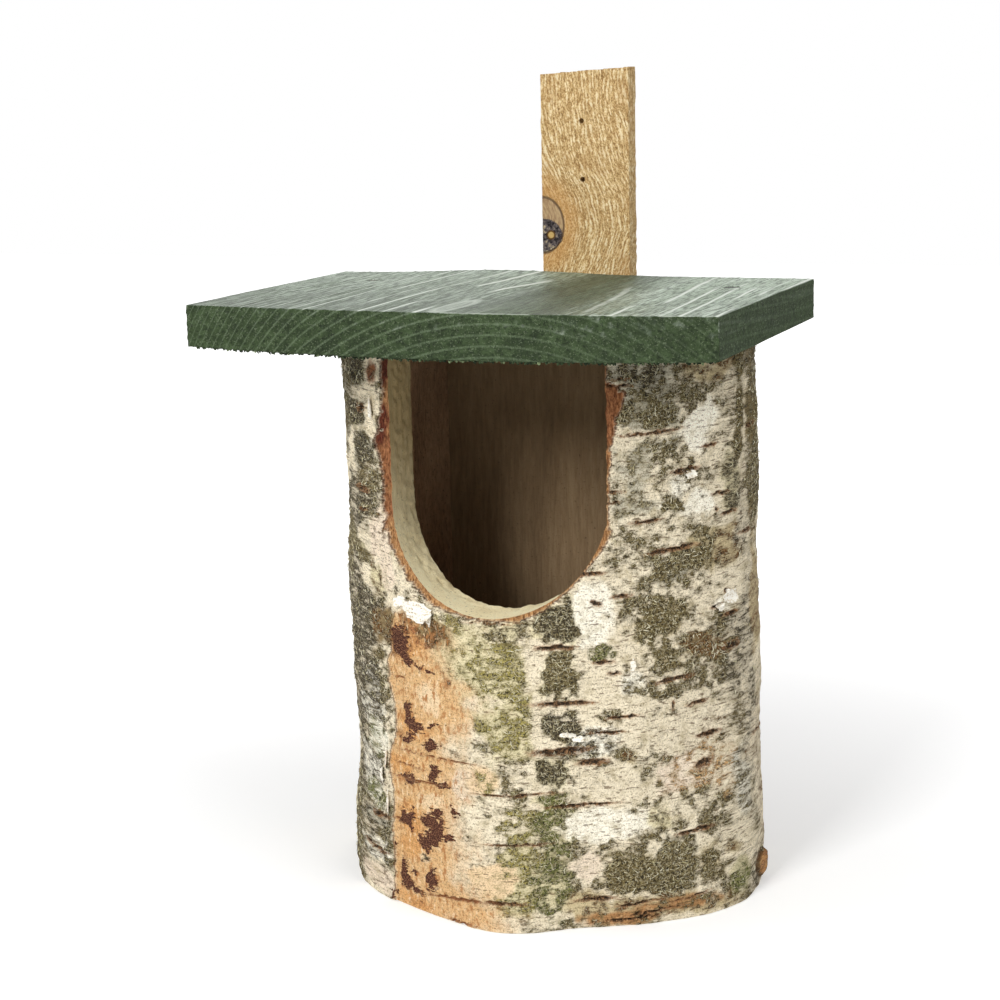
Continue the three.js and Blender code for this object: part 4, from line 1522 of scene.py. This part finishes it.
class GreenStain(Shader):
    """The roof board's green stain, with painted sheen and pale streaks along the grain of its top."""

    def __init__(self):
        super().__init__("green_stain")
        spot = self.spot()
        self.x, self.y, _ = self.split(spot)
        self.top = self.attribute("top")
        self.from_late = abs(self.math("FRACT", self.attribute("rings")) - LATE_WOOD_SHARE)
        self.late = self.step(self.from_late, 0.17, 0.03)
        self.fibre = self.noise(spot, STAIN_FIBRE, 3, 0.7, (1, 0.03, 1))
        self.hairs = self.noise(spot, STAIN_HAIRS, 2, 0.6, (1, 0.08, 1))
        self.pores = self.noise(spot, STAIN_PORES, 3, 0.7, (1, 0.4, 1))
        self.specks = self.noise(spot, STAIN_SPECKS, 3, 0.7)
        self.broad = self.noise(spot, STAIN_BANDS, 3, 0.55, (1, 0.12, 1))
        self.blotch = self.noise(spot, STAIN_BLOTCH, 3, 0.65)
        self.beside = self.step(abs(self.x - BAND_MIDDLE), *BAND_EDGE)

    def base_coat(self):
        """Blotched dark green, with lighter lines on the hard rings, dark specks and pale pores."""
        tone = self.blotch * 0.6 + self.broad * 0.4
        self.colour = self.ramp(tone, (0.38, 38, 49, 30), (0.5, 50, 63, 39), (0.62, 62, 77, 50))
        worn = self.step(self.specks, 0.4, 0.56) * 0.6 + 0.4
        drawn = self.step(self.x, *FADED_LINES) * -0.3 + 0.46
        self.lay((112, 128, 100), self.late * worn * drawn)
        self.lay((24, 32, 20), self.step(self.specks, 0.53, 0.62) * 0.65)
        self.lay((120, 132, 106), self.step(self.pores, 0.44, 0.34) * 0.45)

    def top_sheen_and_grain(self):
        """The top: painted sheen beside a middle band, more towards the back and on the right; pale grain
        streaks that carry more of it there, dark furrows, and pale crests on the hard rings, partly painted
        sheen.
        """
        # Painted sheen: a pale coat on the top beside the middle band, growing towards the back and the
        # right
        behind = self.step(self.y, *PAINTED_SHEEN_BACK)
        right = self.step(self.x, *PAINTED_SHEEN_RIGHT)
        fade = behind * 0.36 + (right * 0.3 + 0.05)
        self.lay((164, 182, 158), self.top * (self.beside * fade + 0.08))
        streak = self.step(self.fibre, 0.47, 0.62) * 0.62 + self.step(self.hairs, 0.5, 0.64) * 0.3
        ahead = self.math("MAXIMUM", behind, right)
        streak = streak * (self.beside * 0.75 + 0.12) * (ahead * 0.45 + 0.62)
        self.lay((204, 218, 202), self.top * streak)
        self.lay((36, 48, 30), self.step(self.hairs, 0.5, 0.4) * (self.top * 0.75))
        # Pale crests on the hard rings beside the middle band: grain, partly painted sheen
        crest = self.step(self.from_late, 0.1, 0.03) * (self.top * self.beside)
        self.lay((216, 222, 212), crest * self.step(self.broad, 0.42, 0.55))

    def figure_and_highlighted_edge(self):
        """The whorl's outline and its paler middle, and the edge on the right: rubbed paint with a painted
        highlight.
        """
        whorl = self.attribute("whorl")
        drawn = self.step(abs(whorl), 0.3, 0.06) * 0.5 + self.step(whorl, 0.0, 0.2) * 0.35
        self.lay((204, 212, 200), self.top * drawn)
        # Painted highlight, with rubbed paint, along the top's front and right edges on the right half
        edge = self.attribute("arris_wear_and_highlight") * self.step(self.broad, 0.44, 0.56)
        self.lay((214, 222, 208), edge * 0.8)


def green_material():
    stain = GreenStain()
    stain.base_coat()
    stain.top_sheen_and_grain()
    stain.figure_and_highlighted_edge()
    height = stain.late * 0.4 + (stain.specks * 0.9 + stain.fibre * 0.8)
    roughness = stain.top * -0.3 + (stain.broad * 0.3 + 0.62)
    shine = stain.top * (stain.beside * 0.18 + 0.06) + 0.15
    return stain.finish(roughness, shine, height=height, depth=STAIN_BUMP)


class RoughBatten(Shader):
    """Rough-sawn pale wood, whose torn fibres follow the grain round a knot."""

    def __init__(self):
        super().__init__("rough_batten")
        flow = self.attribute("flow", "Vector")
        self.streaks = self.noise(flow, BATTEN_STREAKS, 3, 0.65, (1, 1, 0.3))
        self.fine = self.noise(flow, BATTEN_FINE, 3, 0.65, (1, 1, 0.6))
        jitter = self.noise(flow, BATTEN_JITTER, 3, 0.6, (1, 1, 0.3))
        turn = self.split(flow)[0] * (2 * math.pi / (TUFT_SPACING * MM)) + jitter * BATTEN_JITTER_REACH
        ridge = self.math("SINE", turn) * self.step(self.streaks, 0.4, 0.56)
        self.tone = ridge * 0.075 + (self.streaks * 0.45 + self.fine * 0.55)

    def wood(self):
        self.colour = self.ramp(self.tone, *BATTEN_TONES)
        broad = self.noise(self.spot(), BATTEN_BANDS, 3, 0.55, (1, 1, 0.6))
        self.lay((178, 138, 88), self.step(broad, 0.5, 0.7) * 0.35)

    def knot(self):
        """The half knot: its halo, its lid, its dark rough core, a speck and an outline."""
        knot = self.attribute("knot")
        halo = self.ramp(self.fine, (0.35, 172, 122, 68), (0.6, 210, 162, 100))
        self.lay(halo, self.step(knot, -1.1, -0.1) * 0.7)
        lid = self.ramp(self.streaks, (0.36, 150, 118, 88), (0.6, 192, 164, 124))
        self.lay(lid, self.step(knot, 0.0, 0.06))
        rough = self.noise(self.spot(), KNOT_GRAIN, 3, 0.7)
        core = self.step(rough * 0.3 + self.attribute("core"), 0.12, 0.2)
        self.lay(self.ramp(rough, *CORE_TONES), core)
        from_speck = self.attribute("speck")
        self.lay((92, 64, 34), self.step(from_speck, 1.3, 1.0))
        self.lay((206, 172, 108), self.step(from_speck, 0.9, 0.6))
        self.lay((66, 50, 40), self.step(abs(knot - 0.03), 0.07, 0.02) * 0.75)
        return core * rough


def batten_material():
    batten = RoughBatten()
    batten.wood()
    core = batten.knot()
    return batten.finish(0.85, 0.2, height=batten.tone + core, depth=BATTEN_BUMP)


def stained_steel(name, rubbed):
    """A screw head under the board's stain, rubbed bare in spots to a share."""
    s = Shader(name)
    spots = s.noise(s.spot(), RUBBED_SPOTS, 3, 0.6)
    s.colour = s.mix(s.step(spots, 0.5, 0.6) * rubbed, srgb(34, 40, 28), srgb(150, 152, 136))
    return s.finish(0.55, 0.5, 0.3, height=spots, depth=RUBBED_BUMP)


def bare_steel(name, spot_size, stops, roughness):
    s = Shader(name)
    spots = s.noise(s.spot(), spot_size, 3, 0.6)
    s.colour = s.ramp(spots, *stops)
    return s.finish(spots * 0.3 + roughness, 0.5, 1.0, height=spots, depth=STEEL_BUMP)


def dress_hidden_pieces():
    """Board, floor and fasteners keep their frame shapes, with better materials."""
    board = sawn_material("back_board_wood", BOARD_WOOD, (1, 1, 0.12), rings=0.12)
    floor = sawn_material("floor_wood", FLOOR_WOOD, (1, 0.06, 1), rings=0.3)
    screw = bare_steel("zinc_screw", ZINC_SPOTS, ZINC_TONES, 0.3)
    worn = stained_steel("worn_screw", 1.0)
    stained = stained_steel("stained_screw", 0.15)
    nail = bare_steel("wire_nail", WIRE_SPOTS, WIRE_TONES, 0.32)
    named = {
        "back_board": board,
        "floor_plate": floor,
        "roof_screw_left": worn,
        "roof_screw_right": stained,
    }
    for name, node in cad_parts.items():
        fastener = screw if "screw" in name else nail
        if name in named or "screw" in name or "nail" in name:
            node.data.materials.clear()
            node.data.materials.append(named.get(name, fastener))


def block_corners(axis, end, a, b):
    """The crossings of a block's lines round one square on the side at this end of an axis."""
    corners = []
    for da, db in ((0, 0), (1, 0), (1, 1), (0, 1)):
        key = [a + da, b + db]
        key.insert(axis, end)
        corners.append(tuple(key))
    return corners


def block_mesh(name, sides, shape, material):
    """A closed block with a vertex wherever the given lines cross on its surface, then shaped."""
    index = {}
    faces = []
    for axis in range(3):
        first, second = (len(side) - 1 for number, side in enumerate(sides) if number != axis)
        for end in (0, len(sides[axis]) - 1):
            outward = (end != 0) == (axis != 1)
            for a, b in itertools.product(range(first), range(second)):
                corners = [index.setdefault(key, len(index)) for key in block_corners(axis, end, a, b)]
                faces.append(corners if outward else corners[::-1])
    points = [[side[i] for side, i in zip(sides, key)] for key in index]
    return mesh_object(name, shape(np.array(points)), faces, [material])


def lines(low, high, spacing, edge):
    """Places from low to high about this far apart, with extra ones close to both ends."""
    inner = np.linspace(low, high, round((high - low) / spacing) + 1)
    extra = [low + e for e in edge] + [high - e for e in edge]
    return np.unique(np.round(np.concatenate([inner, extra]), 4))


def rounded(points, low, high, radius, relief):
    """Round a block's edges, and lift its surface by the relief, square to the surface."""
    inner = np.clip(points, np.array(low) + radius, np.array(high) - radius)
    away = points - inner
    length = np.linalg.norm(away, axis=1)
    direction = away / np.maximum(length, 1e-9)[:, None]
    return inner + direction * (radius + relief)[:, None]


def plank_rings(points):
    """Number of growth rings out to each point of the plank, x across, y back and z up."""
    x, y, z = points.T
    depth = PITH_BELOW + 0.9 * np.sin(y / 46 + 0.6)
    wavy = x + 0.8 * layered(y, z, 40.0, 3, 601)
    depth = depth + 0.8 * value_noise(y, wavy * 0.3, 40.0, 611)
    across = wavy - PITH_ACROSS + 0.03 * (y - ROOF_FRONT)
    droop = DROOP * np.maximum(0, -across - DROOP_START) ** 2
    reach = np.sqrt(across**2 + droop + (z + depth) ** 2)
    spacing = np.maximum(RING_SPACING - RING_NARROWING * (reach - RING_START), 1.2)
    return -np.log(spacing) / RING_NARROWING


def late_wood(rings):
    """1 on the hard edge of each ring, falling away on both sides."""
    part = rings % 1.0
    climb = 0.35 * ease((part - 0.3) / 0.5) * (part < LATE_WOOD_SHARE)
    return np.exp(-(((part - LATE_WOOD_SHARE) / 0.09) ** 2)) + climb


def roof_warp(x, y, z):
    """How far the warp lifts each point: the lip sags, the top dips in front and crowns at the back."""
    side = x / (ROOF_WIDTH / 2)
    depth = y / ROOF_DEPTH
    up = z / ROOF_THICKNESS
    reach = LIP_SAG_SHARE * (-ROOF_FRONT - LOG_TOP_RADIUS)
    sag = -LIP_SAG * (1 - side**2) * np.maximum(0, 1 - y / reach)
    dip = -FRONT_DIP * (1 - side**2) * (1 - depth)
    crown = BACK_CROWN * np.exp(-(((side - CROWN_PLACE_SHARE) / CROWN_SPREAD_SHARE) ** 2)) * depth
    return np.clip(1 - up, 0, 1) * sag + np.clip(up, 0, 1) * (dip + crown)


def roof_shape(points):
    """The board with raised rings, rounded edges, its warp, and splinters at its lower front edge."""
    low = (-ROOF_WIDTH / 2, 0, 0)
    high = (ROOF_WIDTH / 2, ROOF_DEPTH, ROOF_THICKNESS)
    x, y, z = points.T
    ridge = late_wood(plank_rings(points + [ROOF_OFFSET, ROOF_FRONT, 0]))
    grit = layered(x, z * 1.3 + y * 0.1, 1.6, 2, 621)
    on_end = (y < 0.01) | (y > ROOF_DEPTH - 0.01)
    relief = np.where(on_end, END_RING_RELIEF, FACE_RING_RELIEF) * ridge
    relief = relief + np.where(on_end, END_GRIT, FACE_GRIT) * grit
    shaped = rounded(points, low, high, ROOF_ROUNDING, relief - ROOF_INSET)
    shaped[:, 2] += roof_warp(*shaped.T)
    x, y, z = shaped.T
    splinters = np.maximum(0, layered(x, y, 2.2, 3, 631))
    lower_edge = ease(1 - y / SPLINTER_DEPTH) * ease(1 - (z + LIP_SAG) / SPLINTER_RISE)
    shaped[:, 2] -= SPLINTER_DROP * splinters * lower_edge
    return shaped + [ROOF_OFFSET, ROOF_FRONT, LOG_HEIGHT]


def dress_roof(mesh):
    """Keep what the stain reads: rings, the top, the edge on the right with its rubbed paint and painted
    highlight, and the whorl.
    """
    points = points_of(mesh)
    x, y, z = points.T
    store(mesh, "rings", plank_rings(points - [0, 0, LOG_HEIGHT]))
    in_front = np.minimum(y - ROOF_FRONT, ROOF_WIDTH / 2 - np.abs(x - ROOF_OFFSET))
    inside = np.minimum(in_front, ROOF_BACK - y)
    top = ease((inside - 0.4) / 0.5) * (z > LOG_HEIGHT + ROOF_THICKNESS / 2)
    store(mesh, "top", top)
    store(mesh, "arris_wear_and_highlight", top * (in_front < 1.4) * (x > ROOF_OFFSET))
    across = (x - WHORL_ACROSS - 0.05 * y) / WHORL_HALF_WIDTH
    store(mesh, "whorl", 1 - np.hypot(across, (y - WHORL_BACK) / WHORL_HALF_LENGTH))


def make_roof():
    """The roof board with the holes of its screws."""
    xs = lines(-ROOF_WIDTH / 2, ROOF_WIDTH / 2, ROOF_SPACING, ROOF_EDGE)
    ys = lines(0, ROOF_DEPTH, ROOF_LENGTH_SPACING, ROOF_FRONT_EDGE)
    zs = lines(0, ROOF_THICKNESS, ROOF_SPACING, ROOF_EDGE)
    roof = block_mesh("roof_board", (xs, ys, zs), roof_shape, green_material())
    cut(roof, [screw_hole(name, (0, 0, -1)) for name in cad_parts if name.startswith("roof_screw")])
    dress_roof(roof.data)
    smooth_by_angle(roof, ROOF_SMOOTHING)
    place(roof, "green_wood", "roof_board")


def batten_flow(x, z):
    """Sideways place of each fibre: leaning in the middle and the other way below, bent round the knot."""
    lean = np.interp(z, FLOW_HEIGHTS, FLOW_LEANS)
    push = KNOT_PUSH * np.exp(-(((z - KNOT_HEIGHT) / 19) ** 2) - np.maximum(x - KNOT_ACROSS, 0) / 13)
    return x + lean - push + 1.2 * value_noise(x, z, 22.0, 721)


def knot_depth(x, z):
    """1 at the middle of the half knot on the batten's left edge, 0 on its outline."""
    return 1 - np.hypot((x - KNOT_ACROSS) / KNOT_REACH, (z - KNOT_HEIGHT) / KNOT_RISE)


def batten_tufts(x, z):
    """The saw's torn fibres, -1 to 1: short ridges that follow the grain."""
    flow = batten_flow(x, z)
    phase = flow / TUFT_SPACING + 1.1 * layered(flow, z * 0.3, 7.0, 3, 701)
    breaks = layered(flow * 0.8, z * 0.35, 2.4, 3, 711)
    return np.sin(2 * math.pi * phase) * ease(0.65 + 1.3 * breaks) + 0.5 * breaks


def batten_shape(points):
    """The batten with torn fibres, rounded edges, and its top sawn out of square."""
    low = (-BATTEN_WIDTH / 2, 0, 0)
    high = (BATTEN_WIDTH / 2, BATTEN_THICKNESS, BATTEN_HEIGHT)
    x = points[:, 0] + BATTEN_OFFSET
    z = points[:, 2]
    calm = ease(1.4 * knot_depth(x, z) + 1.2)
    relief = TUFT_RELIEF * batten_tufts(x, z) * (1 - calm)
    relief = relief + KNOT_RELIEF * calm * layered(x, z, 3.0, 3, 731)
    shaped = rounded(points, low, high, BATTEN_ROUNDING, relief - BATTEN_INSET)
    share = ease((shaped[:, 2] - BATTEN_HEIGHT + BATTEN_SKEW_REACH) / BATTEN_SKEW_REACH)
    shaped[:, 2] -= share * BATTEN_SKEW * (1 - (shaped[:, 0] + BATTEN_WIDTH / 2) / BATTEN_WIDTH)
    shaped[:, 0] *= 1 + 2 * BATTEN_FUZZ / BATTEN_WIDTH
    return shaped + [BATTEN_OFFSET, ROOF_BACK, 0]


def hang_hole(side, drop):
    """A plain hole through the batten, this far from its middle and below its top."""
    points = []
    for y in (ROOF_BACK - OVERRUN, ROOF_BACK + BATTEN_THICKNESS + OVERRUN):
        head = (BATTEN_OFFSET + side, y, BATTEN_HEIGHT - drop)
        points += turned_points(head, (0, 1, 0), [(HANG_HOLE_RADIUS, 0)], HANG_HOLE_SIDES)
    return mesh_object("hole", points, strip_faces(2, HANG_HOLE_SIDES))


def dress_batten(mesh):
    """Keep what the wood reads: the grain's flow, the knot, its core and the speck."""
    points = points_of(mesh)
    x, _, z = points.T
    store(mesh, "flow", np.column_stack([batten_flow(x, z), points[:, 1:]]) * MM)
    store(mesh, "knot", knot_depth(x, z))
    store(mesh, "core", 1 - np.hypot((x - KNOT_ACROSS) / CORE_REACH, (z - CORE_HEIGHT) / CORE_RISE))
    store(mesh, "speck", np.hypot(x - SPECK_ACROSS, z - CORE_HEIGHT) / SPECK_RADIUS)


def make_batten():
    """The batten with its hanging holes and the holes of its screws."""
    xs = lines(-BATTEN_WIDTH / 2, BATTEN_WIDTH / 2, BATTEN_SPACING, BATTEN_EDGE)
    ys = lines(0, BATTEN_THICKNESS, BATTEN_DEPTH_SPACING, BATTEN_EDGE)
    below = lines(0, LOG_HEIGHT, BATTEN_LOW_SPACING, BATTEN_EDGE)
    above = lines(LOG_HEIGHT, BATTEN_HEIGHT, BATTEN_HIGH_SPACING, BATTEN_EDGE)
    zs = np.union1d(below, above)
    batten = block_mesh("back_batten", (xs, ys, zs), batten_shape, batten_material())
    tools = [hang_hole(side, drop) for side, drop in HANG_HOLES]
    tools += [screw_hole(name, (0, -1, 0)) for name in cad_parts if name.startswith("batten_")]
    cut(batten, tools)
    dress_batten(batten.data)
    smooth_by_angle(batten, BATTEN_SMOOTHING)
    place(batten, "batten_wood", "back_batten")


def bearing(azimuth, elevation):
    """The way out from the middle at an azimuth from the front and an elevation, in degrees."""
    turn = math.radians(azimuth)
    rise = math.radians(elevation)
    level = math.cos(rise)
    return Vector((level * math.sin(turn), -level * math.cos(turn), math.sin(rise)))


def make_camera():
    back = bearing(CAMERA_AZIMUTH, CAMERA_PITCH)
    azimuth = math.radians(CAMERA_AZIMUTH)
    roll = math.radians(CAMERA_ROLL)
    right = Vector((math.cos(azimuth), math.sin(azimuth), 0))
    up = back.cross(right)
    spot = Vector((0, 0, CAMERA_AIM_HEIGHT)) + back * CAMERA_DISTANCE + right * CAMERA_RIGHT + up * CAMERA_UP
    across = right * math.cos(roll) + up * math.sin(roll)
    upward = up * math.cos(roll) - right * math.sin(roll)
    data = bpy.data.cameras.new("camera")
    data.lens = CAMERA_LENS
    data.sensor_width = CAMERA_SENSOR
    camera = bpy.data.objects.new("camera", data)
    bpy.context.scene.collection.objects.link(camera)
    turn = Matrix((across, upward, back)).transposed().to_4x4()
    camera.matrix_world = Matrix.Translation(spot) @ turn
    bpy.context.scene.camera = camera


def make_lamp(name, azimuth, elevation, distance, size, power):
    """A square lamp aimed at the middle of the box."""
    data = bpy.data.lights.new(name, "AREA")
    data.shape = "SQUARE"
    data.size = size
    data.energy = power
    lamp = bpy.data.objects.new(name, data)
    bpy.context.scene.collection.objects.link(lamp)
    lamp.location = LAMP_TARGET + distance * bearing(azimuth, elevation)
    lamp.rotation_euler = (LAMP_TARGET - lamp.location).to_track_quat("-Z", "Y").to_euler()


def floor_material():
    """Pale grey, which glows to the camera more and more away from the box."""
    s = Shader("pale_floor")
    s.colour = (FLOOR_GREY, FLOOR_GREY, FLOOR_GREY, 1)
    away = s.value("ShaderNodeVectorMath", {0: s.spot()}, "Value", operation="LENGTH")
    glow = s.step(away, *FLOOR_GLOW_REACH) * FLOOR_GLOW_RISE + FLOOR_GLOW
    s.feed(s.surface.inputs["Emission Color"], (1, 1, 1, 1))
    s.feed(s.surface.inputs["Emission Strength"], s.rays("Is Camera Ray")[0] * glow)
    return s.finish(0.9, 0.1)


def make_stage():
    """The studio's floor, just under the box."""
    side = FLOOR_HALF_SIDE
    corners = [(-side, -side, 0), (side, -side, 0), (side, side, 0), (-side, side, 0)]
    floor = mesh_object("studio_floor", corners, [(0, 1, 2, 3)], [floor_material()])
    floor.location.z = -FLOOR_DROP


def make_world():
    """Even light from all round, which is white to the camera and in reflections."""
    world = bpy.data.worlds.new("studio")
    bpy.context.scene.world = world
    world.use_nodes = True
    nodes = Nodes(world.node_tree)
    camera, glossy, through = nodes.rays("Is Camera Ray", "Is Glossy Ray", "Is Transmission Ray")
    seen = nodes.math("MAXIMUM", camera, nodes.math("MAXIMUM", glossy, through))
    light = {"Color": (1, 1, 1, 1), "Strength": seen * (1 - WORLD_LIGHT) + WORLD_LIGHT}
    nodes.node("ShaderNodeOutputWorld", {"Surface": nodes.value("ShaderNodeBackground", light)})


make_camera()
make_stage()
make_world()
for lamp_name, setting in LAMPS.items():
    make_lamp(lamp_name, *setting)
make_log()
make_curls()
make_fibres()
make_roof()
make_slivers()
make_batten()
dress_hidden_pieces()

bpy.context.scene.view_settings.view_transform = "Standard"
